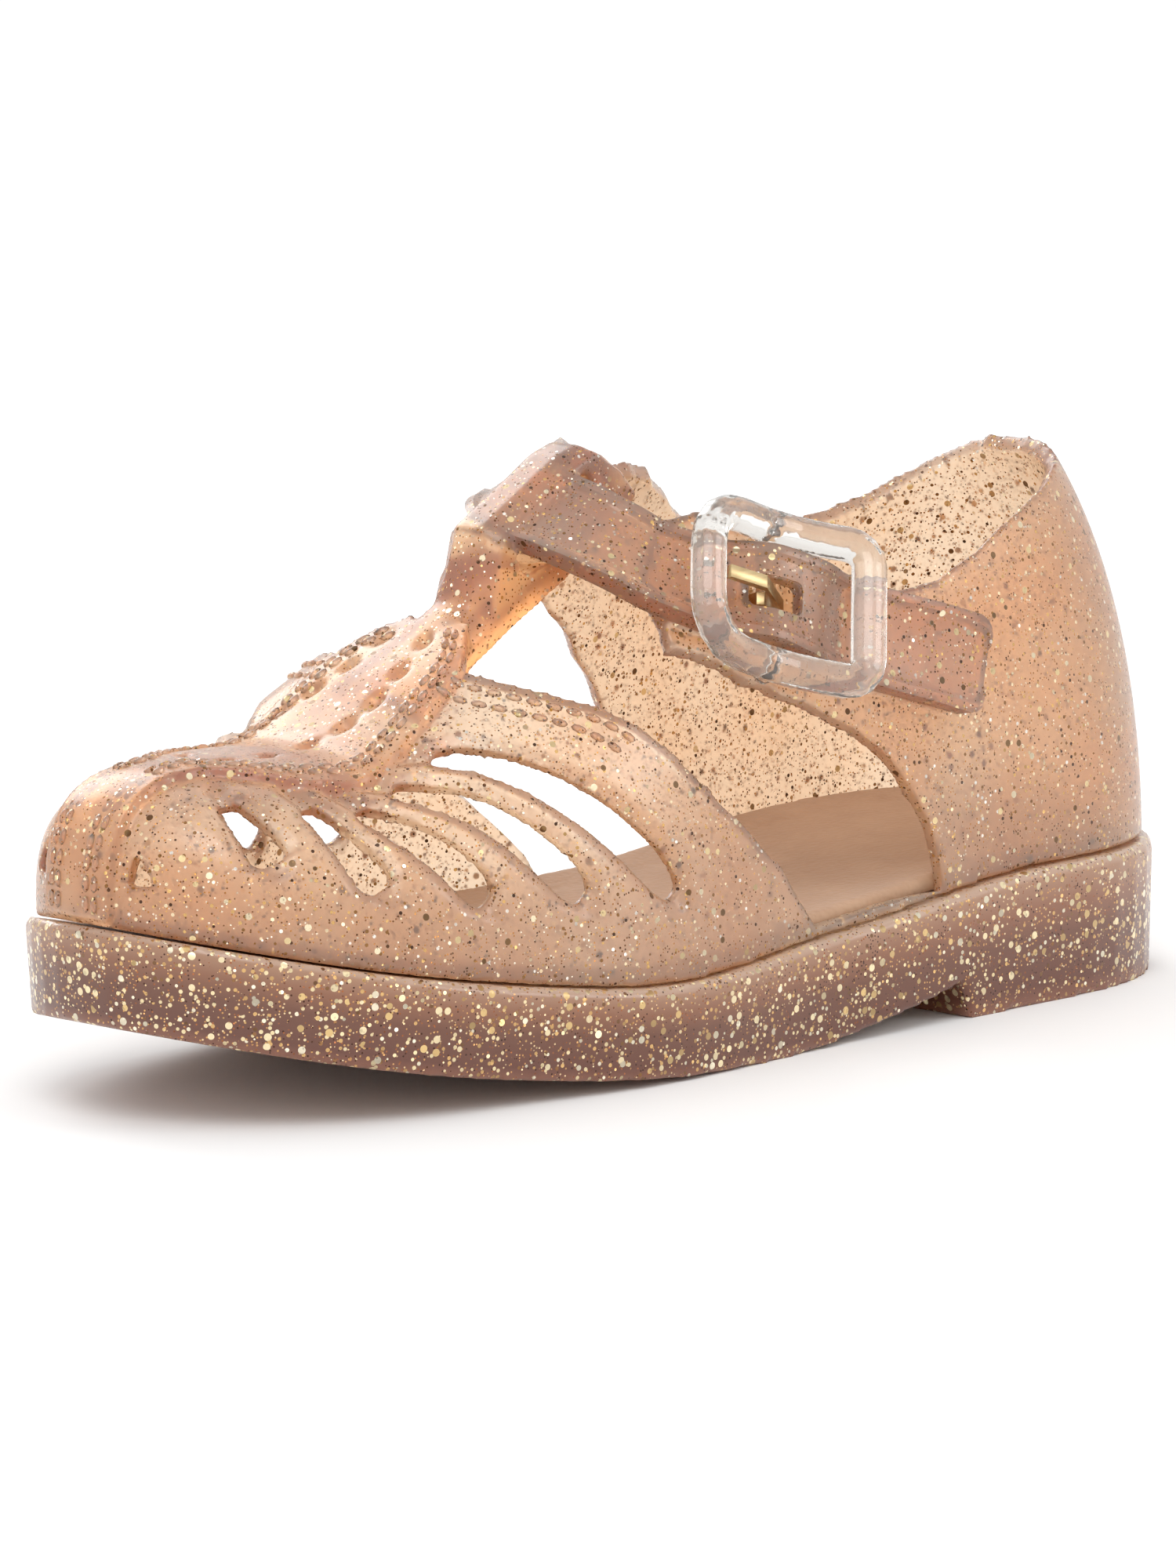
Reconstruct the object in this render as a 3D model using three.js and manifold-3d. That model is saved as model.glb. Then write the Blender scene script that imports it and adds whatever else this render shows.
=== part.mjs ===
// Child's jelly sandal, left foot: a moulded see-through upper with a raised toe apron, slotted sides,
// a T-bar that ends in a keeper loop, and a strap that runs through the loop to a buckle on the outer side.
// Millimetres, +Z up. The toe points to -X, the outer side of the foot is -Y, the floor is Z = 0.
import * as THREE from 'three';
import { mergeVertices } from 'three/addons/utils/BufferGeometryUtils.js';
import Module from 'manifold-3d';

const wasm = await Module();
wasm.setup();

// Driving sizes of the sole
const soleLength = 160;
const ballWidth = 63;
const ballThickness = 10.8;
const heelThickness = 16.4;
const toeSpring = 11.8;
const archRise = 4.6;
const breastHeight = 4.4;
const ledge = 1.3;
const edgeBevel = 1;
const sideTaper = 0.55;

// Driving sizes of the upper
const upperHeight = 76;
const wall = 2;
const fit = 0.3;
const apronStep = 1.2;
const lipHeight = 1;
const slotWidth = 4.8;
const toeHoleWidth = 3.4;

// Driving sizes of the T-bar, loop, strap, buckle and footbed
const loopWidth = 9;
const loopBevel = 2.4;
const strapWidth = 11.8;
const strapThickness = 1.9;
const strapRim = 0.5;
const strapPlay = 0.4;
const buckleLength = 27.4;
const buckleHeight = 21.8;
const buckleBar = 4.3;
const buckleLift = 3.3;
const buckleBow = 2.3;
const buckleToeRound = 5.6;
const buckleHeelRound = 2.6;
const pinWidth = 1.8;
const pinLift = 0.3;
const sleeveWall = 0.55;
const prongWidth = 3.2;
const prongThickness = 1;
const footbedThickness = 2;
const footbedCup = 0.6;

// How finely the forms are faceted
const walkSteps = 36;
const climbSteps = 9;
const roundSteps = 10;
const finest = 0.02;

// Half outlines of the sole, from the toe tip (at 0) to the heel end (at 1), as shares of the ball width
const soleTable = [
  { at: 0, centre: 0.0463, half: 0.448 },
  { at: 0.22, centre: 0.0203, half: 0.463 },
  { at: 0.375, centre: 0.0143, half: 0.503 },
  { at: 0.594, centre: -0.0487, half: 0.395 },
  { at: 0.81, centre: -0.0297, half: 0.392 },
  { at: 1, centre: -0.0047, half: 0.392 },
];
const toeRound = { reach: 0.2375 * soleLength, power: 2.13 };
const heelRound = { reach: 0.169 * soleLength, power: 2.51 };

// Thickness of the sole's edge: shares of the ball and heel thickness
const edgeTable = [
  { at: 0, ball: 1.055, heel: 0 },
  { at: 0.34, ball: 0.995, heel: 0 },
  { at: 0.594, ball: 0.58, heel: 0.435 },
  { at: 0.81, ball: 0, heel: 1 },
  { at: 1, ball: 0, heel: 0.988 },
];

// Crest of the last: height above the floor as a share of the upper's height, offset towards the
// inner side as a share of the ball width, and the power that squares the cross-section
const crestTable = [
  { at: 0, height: 0.517, offset: 0.0243, power: 3.4 },
  { at: 0.07, height: 0.514, offset: 0.0203, power: 2.9 },
  { at: 0.14, height: 0.511, offset: 0.0173, power: 2.5 },
  { at: 0.19, height: 0.548, offset: 0.0163, power: 2.4 },
  { at: 0.25, height: 0.618, offset: 0.0163, power: 2.4 },
  { at: 0.35, height: 0.71, offset: 0.0163, power: 2.4 },
  { at: 0.42, height: 0.773, offset: 0.0143, power: 2.35 },
  { at: 0.5, height: 0.842, offset: 0.0053, power: 2.3 },
  { at: 0.6, height: 0.905, offset: -0.0027, power: 2.3 },
  { at: 0.7, height: 0.947, offset: -0.0127, power: 2.3 },
  { at: 0.8, height: 0.98, offset: -0.0177, power: 2.3 },
  { at: 0.93, height: 0.998, offset: -0.0137, power: 2.15 },
  { at: 1, height: 1, offset: -0.0097, power: 2.05 },
];
const crestStart = -0.375 * soleLength;
const crestEnd = 0.333 * soleLength;

// Places on the last are given as along (0 at the toe tip, 1 at the heel, even steps of a half turn)
// and across (-1 at the outer sole edge, 0 on the crest, 1 at the inner sole edge).
const vampRear = [
  { across: 0, along: 0.352 },
  { across: 0.17, along: 0.354 },
  { across: 0.231, along: 0.36 },
  { across: 0.304, along: 0.369 },
  { across: 0.409, along: 0.389 },
  { across: 0.56, along: 0.427 },
  { across: 0.741, along: 0.466 },
  { across: 0.828, along: 0.489 },
  { across: 0.912, along: 0.515 },
  { across: 1, along: 0.538 },
];
const outerQuarter = [
  { along: 0.474, low: -0.425, high: -0.375 },
  { along: 0.47, low: -0.482, high: -0.33 },
  { along: 0.482, low: -0.515, high: -0.285 },
  { along: 0.493, low: -0.549, high: -0.245 },
  { along: 0.508, low: -0.61, high: -0.215 },
  { along: 0.531, low: -0.67, high: -0.25 },
  { along: 0.557, low: -0.73, high: -0.36 },
  { along: 0.585, low: -0.795, high: -0.49 },
  { along: 0.605, low: -0.864, high: -0.555 },
  { along: 0.619, low: -0.93, high: -0.577 },
  { along: 0.628, low: -1, high: -0.586 },
  { along: 0.657, low: -1, high: -0.596 },
  { along: 0.696, low: -1, high: -0.572 },
  { along: 0.745, low: -1, high: -0.523 },
  { along: 0.802, low: -1, high: -0.484 },
  { along: 0.9, low: -1, high: -0.441 },
  { along: 1, low: -1, high: -0.42 },
  { along: 1.03, low: -1, high: -0.42 },
];
const innerQuarter = [
  { along: 0.521, low: 0.5, high: 0.14 },
  { along: 0.536, low: 0.58, high: 0.15 },
  { along: 0.554, low: 0.69, high: 0.18 },
  { along: 0.572, low: 0.79, high: 0.23 },
  { along: 0.591, low: 0.865, high: 0.3 },
  { along: 0.61, low: 0.93, high: 0.41 },
  { along: 0.628, low: 1, high: 0.5 },
  { along: 0.656, low: 1, high: 0.57 },
  { along: 0.7, low: 1, high: 0.6 },
  { along: 0.759, low: 1, high: 0.58 },
  { along: 0.81, low: 1, high: 0.55 },
  { along: 0.864, low: 1, high: 0.502 },
  { along: 0.925, low: 1, high: 0.452 },
  { along: 1, low: 1, high: 0.42 },
  { along: 1.03, low: 1, high: 0.42 },
];
const slotTable = [
  { topAlong: 0.127, topAcross: 0.36, midAlong: 0.153, midAcross: 0.55, endAlong: 0.171, endAcross: 0.71 },
  { topAlong: 0.201, topAcross: 0.38, midAlong: 0.228, midAcross: 0.58, endAlong: 0.249, endAcross: 0.76 },
  { topAlong: 0.244, topAcross: 0.4, midAlong: 0.287, midAcross: 0.64, endAlong: 0.321, endAcross: 0.845 },
  { topAlong: 0.272, topAcross: 0.365, midAlong: 0.334, midAcross: 0.655, endAlong: 0.381, endAcross: 0.87 },
  { topAlong: 0.306, topAcross: 0.355, midAlong: 0.378, midAcross: 0.655, endAlong: 0.439, endAcross: 0.893 },
];

// Width of a slot from its upper to its lower end: place on its length and share of the full width
const slotShape = [
  { place: 0, width: 0.24 },
  { place: 0.025, width: 0.46 },
  { place: 0.09, width: 0.62 },
  { place: 0.28, width: 0.76 },
  { place: 0.48, width: 0.88 },
  { place: 0.68, width: 0.97 },
  { place: 0.86, width: 1 },
  { place: 0.94, width: 0.86 },
  { place: 0.985, width: 0.6 },
  { place: 1, width: 0.36 },
];
const toeHole = { topAlong: 0.05, topAcross: 0.765, endAlong: 0.058, endAcross: 0.915, innerShift: 0.024 };

// Plan of the raised apron: centre and half width as shares of the ball width, from front to neck
const apronTable = [
  { at: -0.08, centre: 0.0663, half: 0.095 },
  { at: 0.085, centre: 0.0593, half: 0.09 },
  { at: 0.115, centre: 0.0473, half: 0.14 },
  { at: 0.15, centre: 0.0243, half: 0.195 },
  { at: 0.2, centre: 0.0043, half: 0.205 },
  { at: 0.25, centre: 0.0043, half: 0.19 },
  { at: 0.3, centre: 0.0053, half: 0.165 },
  { at: 0.326, centre: 0.0063, half: 0.118 },
  { at: 0.342, centre: 0.002, half: 0.076 },
];

// Side view of the T-bar and its loop: x as a share of the sole length and z as a share of the
// upper's height, for the underside, the side edge and the ridge, with the width as a share of the loop's
const barTable = [
  { under: [-0.2125, 0.5342], edge: [-0.2188, 0.5605], ridge: [-0.2250, 0.5908], width: 1.5 },
  { under: [-0.1750, 0.5842], edge: [-0.1906, 0.6053], ridge: [-0.1925, 0.6434], width: 1.25 },
  { under: [-0.1519, 0.6184], edge: [-0.1669, 0.6355], ridge: [-0.1663, 0.6868], width: 1.06 },
  { under: [-0.1181, 0.6605], edge: [-0.1363, 0.6789], ridge: [-0.1475, 0.7132], width: 1 },
  { under: [-0.1000, 0.6816], edge: [-0.1212, 0.8066], ridge: [-0.1288, 0.8250], width: 1 },
  { under: [-0.0544, 0.7342], edge: [-0.0469, 0.9026], ridge: [-0.0512, 0.9197], width: 1 },
  { under: [-0.0312, 0.7618], edge: [-0.0238, 0.9211], ridge: [-0.0312, 0.9329], width: 1 },
  { under: [-0.0112, 0.7842], edge: [-0.0037, 0.8895], ridge: [-0.0056, 0.9105], width: 0.97 },
  { under: [0.0087, 0.8079], edge: [0.0163, 0.8447], ridge: [0.0138, 0.8605], width: 0.85 },
];

// Side view of the opening the strap runs through, in the same shares
const tunnelOutline = [
  [-0.1087, 0.8013],
  [-0.1031, 0.7474],
  [-0.0469, 0.7763],
  [-0.0281, 0.8553],
  [-0.0350, 0.8947],
];

// The strap's centre line on the last, from the inner quarter over the instep to the outer tail
const strapTable = [
  { along: 0.56, across: 0.46, lift: -0.6 },
  { along: 0.54, across: 0.36, lift: 2.4 },
  { along: 0.517, across: 0.25, lift: 4 },
  { along: 0.497, across: 0.13, lift: 2.9 },
  { along: 0.467, across: 0, lift: 4.2 },
  { along: 0.463, across: -0.13, lift: 3.9 },
  { along: 0.47, across: -0.24, lift: 2.9 },
  { along: 0.486, across: -0.345, lift: 1.35 },
  { along: 0.508, across: -0.44, lift: 1.5 },
  { along: 0.533, across: -0.51, lift: 3.5 },
  { along: 0.553, across: -0.56, lift: 3.1 },
  { along: 0.572, across: -0.603, lift: 1.5 },
  { along: 0.6, across: -0.655, lift: 1.35 },
  { along: 0.63, across: -0.7, lift: 1.5 },
  { along: 0.662, across: -0.745, lift: 1.5 },
];

const buckleStep = 9.05;

// Smooth curve through one column of a table, with no overshoot between rows
function column(table, key, name) {
  const x = table.map((row) => row[key]);
  const y = table.map((row) => row[name]);
  const slope = x.slice(1).map((v, i) => (y[i + 1] - y[i]) / (v - x[i]));
  const tangent = x.map((v, i) => {
    if (i === 0) return slope[0];
    if (i === x.length - 1) return slope[i - 1];
    const product = slope[i - 1] * slope[i];
    return product <= 0 ? 0 : (2 * product) / (slope[i - 1] + slope[i]);
  });
  return (value) => {
    const v = Math.min(Math.max(value, x[0]), x[x.length - 1]);
    let i = 0;
    while (i < x.length - 2 && v > x[i + 1]) i += 1;
    const h = x[i + 1] - x[i];
    const u = (v - x[i]) / h;
    const start = (1 + 2 * u) * (1 - u) ** 2 * y[i] + u * (1 - u) ** 2 * h * tangent[i];
    const end = u * u * (3 - 2 * u) * y[i + 1] + u * u * (u - 1) * h * tangent[i + 1];
    return start + end;
  };
}

const soleCentre = column(soleTable, 'at', 'centre');
const soleHalf = column(soleTable, 'at', 'half');
const edgeBall = column(edgeTable, 'at', 'ball');
const edgeHeel = column(edgeTable, 'at', 'heel');
const crestHeight = column(crestTable, 'at', 'height');
const crestOffset = column(crestTable, 'at', 'offset');
const crestPower = column(crestTable, 'at', 'power');

const shareOf = (x) => (x + soleLength / 2) / soleLength;
const springStart = -0.0125 * soleLength;
const springPower = 1.8;

function springAt(x) {
  const ahead = Math.max(springStart - x, 0) / (soleLength / 2 + springStart);
  return toeSpring * ahead ** springPower;
}

// Height of the sole's top face
function soleTop(x) {
  const at = Math.min(Math.max(shareOf(x), 0), 1);
  return springAt(x) + ballThickness * edgeBall(at) + heelThickness * edgeHeel(at);
}

function roundOff(distance, round) {
  if (distance >= round.reach) return 1;
  const u = Math.min(Math.max((round.reach - distance) / round.reach, 0), 1);
  return (1 - u ** round.power) ** (1 / round.power);
}

function outlinePoint(along, side) {
  const at = (1 - Math.cos(Math.PI * along)) / 2;
  const x = soleLength * (at - 0.5);
  const ends = roundOff(at * soleLength, toeRound) * roundOff((1 - at) * soleLength, heelRound);
  return [x, ballWidth * (soleCentre(at) + side * soleHalf(at) * ends)];
}

// Outline of the sole moved outwards by grow, on the outer (-1) or inner (1) side
function soleOutline(along, side, grow) {
  const step = 1e-3;
  const here = outlinePoint(along, side);
  if (along < step) return [here[0] - grow, here[1]];
  if (along > 1 - step) return [here[0] + grow, here[1]];
  const before = outlinePoint(along - step, side);
  const after = outlinePoint(along + step, side);
  const run = [after[0] - before[0], after[1] - before[1]];
  const length = Math.hypot(run[0], run[1]);
  return [here[0] - (side * grow * run[1]) / length, here[1] + (side * grow * run[0]) / length];
}

// A point of the last, or of a form that stands grow outside it
function lastPoint(along, across, grow = 0) {
  if (along > 1) return lastPoint(2 - along, -across, grow);
  const side = across < 0 ? -1 : 1;
  const at = (1 - Math.cos(Math.PI * along)) / 2;
  const climb = (1 - Math.min(Math.abs(across), 1)) * (Math.PI / 2);
  const power = 2 / crestPower(at);
  const inward = across === 0 ? 1 : 1 - Math.max(Math.cos(climb), 0) ** power;
  const upward = across === 0 ? 1 : Math.sin(climb) ** power;
  const foot = soleOutline(along, side, grow - ledge);
  const base = soleTop(foot[0]) + fit;
  const crest = [crestStart + (crestEnd - crestStart) * at, ballWidth * crestOffset(at)];
  return new THREE.Vector3(
    foot[0] + (crest[0] - foot[0]) * inward,
    foot[1] + (crest[1] - foot[1]) * inward,
    base + (upperHeight * crestHeight(at) + grow - base) * upward,
  );
}

// Outward direction of the last at a place on it
function lastNormal(along, across) {
  const d = 4e-3;
  const a = lastPoint(along + d, across).sub(lastPoint(along - d, across));
  const b = lastPoint(along, across + d).sub(lastPoint(along, across - d));
  return b.cross(a).normalize().negate();
}

// A solid from rings of points, each joined to the next: a hoop, or a bar with a fan over each end
function loft(rings, hoop = false) {
  const count = rings[0].length;
  const positions = [];
  const index = [];
  rings.forEach((ring) => ring.forEach((p) => positions.push(p.x, p.y, p.z)));
  for (let r = 0; r < rings.length - (hoop ? 0 : 1); r += 1) {
    const next = ((r + 1) % rings.length) * count;
    for (let i = 0; i < count; i += 1) {
      const j = (i + 1) % count;
      const [a, b, c, d] = [r * count + i, r * count + j, next + j, next + i];
      index.push(a, b, c, a, c, d);
    }
  }
  if (!hoop) {
    for (let i = 1; i < count - 1; i += 1) {
      const top = (rings.length - 1) * count;
      index.push(0, i + 1, i, top, top + i, top + i + 1);
    }
  }
  return solid(positions, index);
}

// A closed mesh as a solid, turned right side out
function solid(positions, index) {
  const geometry = new THREE.BufferGeometry();
  geometry.setAttribute('position', new THREE.Float32BufferAttribute(positions, 3));
  geometry.setIndex(index);
  return fromGeometry(geometry);
}

function fromGeometry(source) {
  const bare = source.clone();
  bare.deleteAttribute('normal');
  bare.deleteAttribute('uv');
  const merged = mergeVertices(bare, 1e-4);
  const vertices = merged.attributes.position.array;
  const corners = merged.index.array;
  const kept = [];
  for (let i = 0; i < corners.length; i += 3) {
    const [a, b, c] = [corners[i], corners[i + 1], corners[i + 2]];
    if (a !== b && b !== c && a !== c) kept.push(a, b, c);
  }
  if (signedVolume(vertices, kept) < 0) kept.reverse();
  const mesh = new wasm.Mesh({
    numProp: 3,
    vertProperties: new Float32Array(vertices),
    triVerts: new Uint32Array(kept),
  });
  return new wasm.Manifold(mesh);
}

function signedVolume(vertices, corners) {
  const at = (i) => new THREE.Vector3().fromArray(vertices, corners[i] * 3);
  let sum = 0;
  for (let i = 0; i < corners.length; i += 3) sum += at(i).dot(at(i + 1).cross(at(i + 2)));
  return sum;
}

// The whole last as a closed body that stands grow outside the named form and reaches drop below it
function lastBody(grow, drop) {
  const columns = [];
  const turns = 2 * walkSteps;
  for (let i = 0; i < turns; i += 1) {
    const along = i <= walkSteps ? i / walkSteps : (turns - i) / walkSteps;
    const side = i <= walkSteps ? -1 : 1;
    const points = [];
    for (let j = 0; j <= climbSteps; j += 1) {
      const across = side * (1 - j / climbSteps);
      points.push(lastPoint(along, across, grow));
    }
    if (drop > 0) points.unshift(points[0].clone().setZ(points[0].z - drop));
    columns.push(points);
  }
  const rows = columns[0].length;
  const positions = columns.flat().flatMap((p) => [p.x, p.y, p.z]);
  const index = [];
  for (let i = 0; i < turns; i += 1) {
    const a = i * rows;
    const b = ((i + 1) % turns) * rows;
    for (let j = 0; j < rows - 1; j += 1) index.push(a + j, b + j, b + j + 1, a + j, b + j + 1, a + j + 1);
  }
  for (let i = 0; i < walkSteps; i += 1) {
    const mirrored = (k) => ((turns - k) % turns) * rows;
    const [a, b, c, d] = [i * rows, (i + 1) * rows, mirrored(i + 1), mirrored(i)];
    index.push(a, c, b, a, d, c);
  }
  return solid(positions, index);
}

// Even stops from one value to another
const spread = (from, to, count) =>
  Array.from({ length: count + 1 }, (_, i) => from + ((to - from) * i) / count);

// A slab that follows the last between two heights, over a region given row by row
function region(rows, inside, outside, divisions = 6) {
  const rings = rows.map(({ along, low, high }) => {
    const stops = spread(low, high, divisions);
    const under = stops.map((across) => lastPoint(along, across, inside));
    const over = stops.map((across) => lastPoint(along, across, outside)).reverse();
    return [...under, ...over];
  });
  return loft(rings);
}

// A band along a path on the last: section(i) gives its corners as [sideways, outwards] pairs
function band(path, section) {
  const centres = path.map(({ along, across, lift }) =>
    lastPoint(along, across).addScaledVector(lastNormal(along, across), lift ?? 0));
  const rings = centres.map((centre, i) => {
    const before = centres[Math.max(i - 1, 0)];
    const after = centres[Math.min(i + 1, centres.length - 1)];
    const forward = after.clone().sub(before).normalize();
    const outward = lastNormal(path[i].along, path[i].across);
    const sideways = outward.clone().cross(forward).normalize();
    const up = forward.clone().cross(sideways).normalize();
    return section(i).map(([s, u]) => centre.clone().addScaledVector(sideways, s).addScaledVector(up, u));
  });
  return loft(rings);
}

// The place at a share u of a quadratic curve through three places on the last
function bowed(from, through, to, u) {
  const [a, b, c] = [(1 - u) * (1 - 2 * u), 4 * u * (1 - u), u * (2 * u - 1)];
  return {
    along: a * from.along + b * through.along + c * to.along,
    across: a * from.across + b * through.across + c * to.across,
  };
}

// A straight-sided solid over an outline in plan (x, y) or in side view (x, z)
function planPrism(points, bottom, top) {
  const shape = new THREE.Shape(points.map(([x, y]) => new THREE.Vector2(x, y)));
  const geometry = new THREE.ExtrudeGeometry(shape, { depth: top - bottom, bevelEnabled: false });
  geometry.translate(0, 0, bottom);
  return fromGeometry(geometry);
}

function sidePrism(points, halfDepth, centreY = 0) {
  const shape = new THREE.Shape(points.map(([x, z]) => new THREE.Vector2(x, z)));
  const geometry = new THREE.ExtrudeGeometry(shape, { depth: 2 * halfDepth, bevelEnabled: false });
  geometry.rotateX(Math.PI / 2);
  geometry.translate(0, centreY + halfDepth, 0);
  return fromGeometry(geometry);
}

// Outline rings of the sole or footbed: one closed ring of points at a given inset and height
function outlineRing(grow, height) {
  const turns = 2 * walkSteps;
  return Array.from({ length: turns }, (_, i) => {
    const along = i <= walkSteps ? i / walkSteps : (turns - i) / walkSteps;
    const side = i <= walkSteps ? -1 : 1;
    const [x, y] = soleOutline(along, side, grow);
    return new THREE.Vector3(x, y, height(x, y, side));
  });
}

// Rings joined into a solid whose top and bottom are strips straight across the foot
function outlineSolid(rings) {
  const count = rings[0].length;
  const positions = rings.flat().flatMap((p) => [p.x, p.y, p.z]);
  const index = [];
  for (let r = 0; r < rings.length - 1; r += 1) {
    for (let i = 0; i < count; i += 1) {
      const [a, b] = [r * count + i, r * count + ((i + 1) % count)];
      index.push(a, b, b + count, a, b + count, a + count);
    }
  }
  const top = (rings.length - 1) * count;
  for (let i = 0; i < walkSteps; i += 1) {
    const [a, b, c, d] = [i, i + 1, (count - i - 1) % count, (count - i) % count];
    index.push(a, c, b, a, d, c, top + a, top + b, top + c, top + a, top + c, top + d);
  }
  return solid(positions, index);
}

function makeOutsole() {
  const floor = -1;
  const block = outlineSolid([
    outlineRing(-sideTaper - 0.02, () => floor),
    outlineRing(-sideTaper, (x) => springAt(x)),
    outlineRing(0, (x) => soleTop(x) - edgeBevel),
    outlineRing(-edgeBevel * 0.6, (x) => soleTop(x)),
  ]);
  const breast = 0.208 * soleLength;
  const archStart = 0.035 * soleLength;
  const toeTip = -soleLength / 2 - ledge;
  const under = spread(toeTip, springStart, 14).map((x) => [x, springAt(x)]);
  const arch = spread(archStart, breast, 8).map((x) => {
    const u = (x - archStart) / (breast - archStart);
    return [x, archRise * u ** 1.4];
  });
  const ground = [
    [toeTip, 4 * floor],
    ...under,
    ...arch,
    [breast + breastHeight * 0.35, 0],
    [soleLength, 0],
    [soleLength, 4 * floor],
  ];
  return block.subtract(sidePrism(ground, ballWidth));
}

// The footbed's edge rises from the ball back to the heel
const archCup = column([
  { at: 0, cup: 0.2 },
  { at: 0.3, cup: 0.3 },
  { at: 0.55, cup: 1 },
  { at: 0.8, cup: 0.9 },
  { at: 1, cup: 0.6 },
], 'at', 'cup');

function makeFootbed() {
  const inset = -(ledge + wall + fit);
  const lift = (x) => soleTop(x) + fit;
  const cup = (x, y, side) => (side > 0 ? 1 : 0.35) * footbedCup * archCup(shareOf(x));
  return outlineSolid([
    outlineRing(inset - 0.4, (x) => lift(x)),
    outlineRing(inset, (x) => lift(x) + 0.5),
    outlineRing(inset, (x, y, side) => lift(x) + footbedThickness * 0.8 + cup(x, y, side)),
    outlineRing(inset - 0.7, (x, y, side) => lift(x) + footbedThickness + cup(x, y, side)),
    outlineRing(inset - 6, (x) => lift(x) + footbedThickness * 0.9),
  ]);
}

function slotCutter(row, side) {
  const from = { along: row.topAlong, across: side * row.topAcross };
  const through = { along: row.midAlong, across: side * row.midAcross };
  const to = { along: row.endAlong, across: side * row.endAcross };
  const path = slotShape.map(({ place }) => bowed(from, through, to, place));
  return band(path, (i) => {
    const half = (slotWidth * slotShape[i].width) / 2;
    return [[-half, -3 * wall], [half, -3 * wall], [half * 1.1, 3 * wall], [-half * 1.1, 3 * wall]];
  });
}

function toeHoleCutter(side) {
  const path = spread(0, 1, 3).map((u) => ({
    along: toeHole.topAlong + (toeHole.endAlong - toeHole.topAlong) * u + (side > 0 ? toeHole.innerShift : 0),
    across: side * (toeHole.topAcross + (toeHole.endAcross - toeHole.topAcross) * u),
  }));
  return band(path, (i) => {
    const half = (toeHoleWidth / 2) * (0.12 + (0.88 * i) / 3);
    return [[-half, -3 * wall], [half, -3 * wall], [half, 3 * wall], [-half, 3 * wall]];
  });
}

function makeVamp(shell) {
  const rear = column(vampRear, 'across', 'along');
  const climb = Math.asin((lipHeight / (upperHeight - soleTop(0))) ** (crestPower(0.5) / 2));
  const lip = 1 - climb / (Math.PI / 2);
  const behind = spread(-lip, lip, 24).map((across) => ({ across, start: rear(Math.abs(across)) }));
  const end = 0.8;
  const steps = 8;
  const rings = behind.map(({ across, start }) => {
    const run = spread(start, end, steps);
    const under = run.map((along) => lastPoint(along, across, -3 * wall));
    const over = run.map((along) => lastPoint(along, across, 3 * wall)).reverse();
    return [...under, ...over];
  });
  const joint = 0.24 * soleLength;
  const ahead = [[-soleLength, -ballWidth], [joint, -ballWidth], [joint, ballWidth], [-soleLength, ballWidth]];
  const front = planPrism(ahead, -soleLength, soleLength);
  return shell.intersect(front).subtract(loft(rings));
}

function makeApron() {
  const centre = column(apronTable, 'at', 'centre');
  const half = column(apronTable, 'at', 'half');
  const stations = spread(apronTable[0].at, apronTable[apronTable.length - 1].at, 22);
  const edge = (side) => stations.map((at) =>
    [soleLength * (at - 0.5), ballWidth * (centre(at) + side * half(at))]);
  const outline = [...edge(-1), ...edge(1).reverse()];
  const low = soleTop(-soleLength / 2) * 0.5;
  const thick = lastBody(apronStep, 0).subtract(lastBody(-wall, 2 * wall));
  return thick.intersect(planPrism(outline, low, soleLength));
}

const sideView = ([x, z]) => [x * soleLength, z * upperHeight];

function makeBar() {
  return loft(barTable.map((row) => {
    const half = (loopWidth * row.width) / 2;
    const outline = [
      [row.under, -half * 0.94],
      [row.under, half * 0.94],
      [row.edge, half],
      [row.ridge, half - loopBevel],
      [row.ridge, loopBevel - half],
      [row.edge, -half],
    ];
    return outline.map(([place, y]) => {
      const [x, z] = sideView(place);
      return new THREE.Vector3(x, y, z);
    });
  }));
}

// Section of the strap: flat underneath, with a raised rim along each edge of its top
const strapSection = (half, thickness, rim) => {
  const [edge, foot] = [half - 1.4 * rim - 0.4, half - 2 * rim - 0.6];
  const [face, crown] = [thickness / 2, thickness / 2 + rim];
  return [
    [-half, -face], [half, -face], [half, crown], [edge, crown],
    [foot, face], [-foot, face], [-edge, crown], [-half, crown],
  ];
};

const strapCurve = ['across', 'lift'].map((name) =>
  column(strapTable.map((row, i) => ({ ...row, step: i })), 'step', name));
const strapAlong = new THREE.CatmullRomCurve3(
  strapTable.map((row, i) => new THREE.Vector3(i, row.along, 0)), false, 'catmullrom', 0.5);

function strapPlace(step) {
  return {
    along: strapAlong.getPoint(step / (strapTable.length - 1)).y,
    across: strapCurve[0](step),
    lift: strapCurve[1](step),
  };
}

const strapPath = (perRow) => {
  const last = strapTable.length - 1;
  return spread(0, last, last * perRow).map(strapPlace);
};

function makeStrap(extra) {
  const path = strapPath(2);
  const last = path.length - 1;
  return band(path, (i) => {
    const toEnd = last - i;
    const taper = extra > 0 ? 1 : 1 - 0.16 * Math.max(0, 1 - toEnd) ** 2;
    return strapSection((strapWidth / 2) * taper + extra, strapThickness + 2 * extra, strapRim);
  });
}

// Local axes of the buckle on the outer quarter: along the strap, across it and outwards
function buckleAxes() {
  const [behind, here, ahead] = [buckleStep - 1.5, buckleStep, buckleStep + 1.5].map(strapPlace);
  const outward = lastNormal(here.along, here.across);
  const run = lastPoint(ahead.along, ahead.across).sub(lastPoint(behind.along, behind.across));
  const across = outward.clone().cross(run).normalize();
  const forward = across.clone().cross(outward).normalize();
  const seat = lastPoint(here.along, here.across);
  return new THREE.Matrix4().makeBasis(forward, across, outward).setPosition(seat);
}

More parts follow.
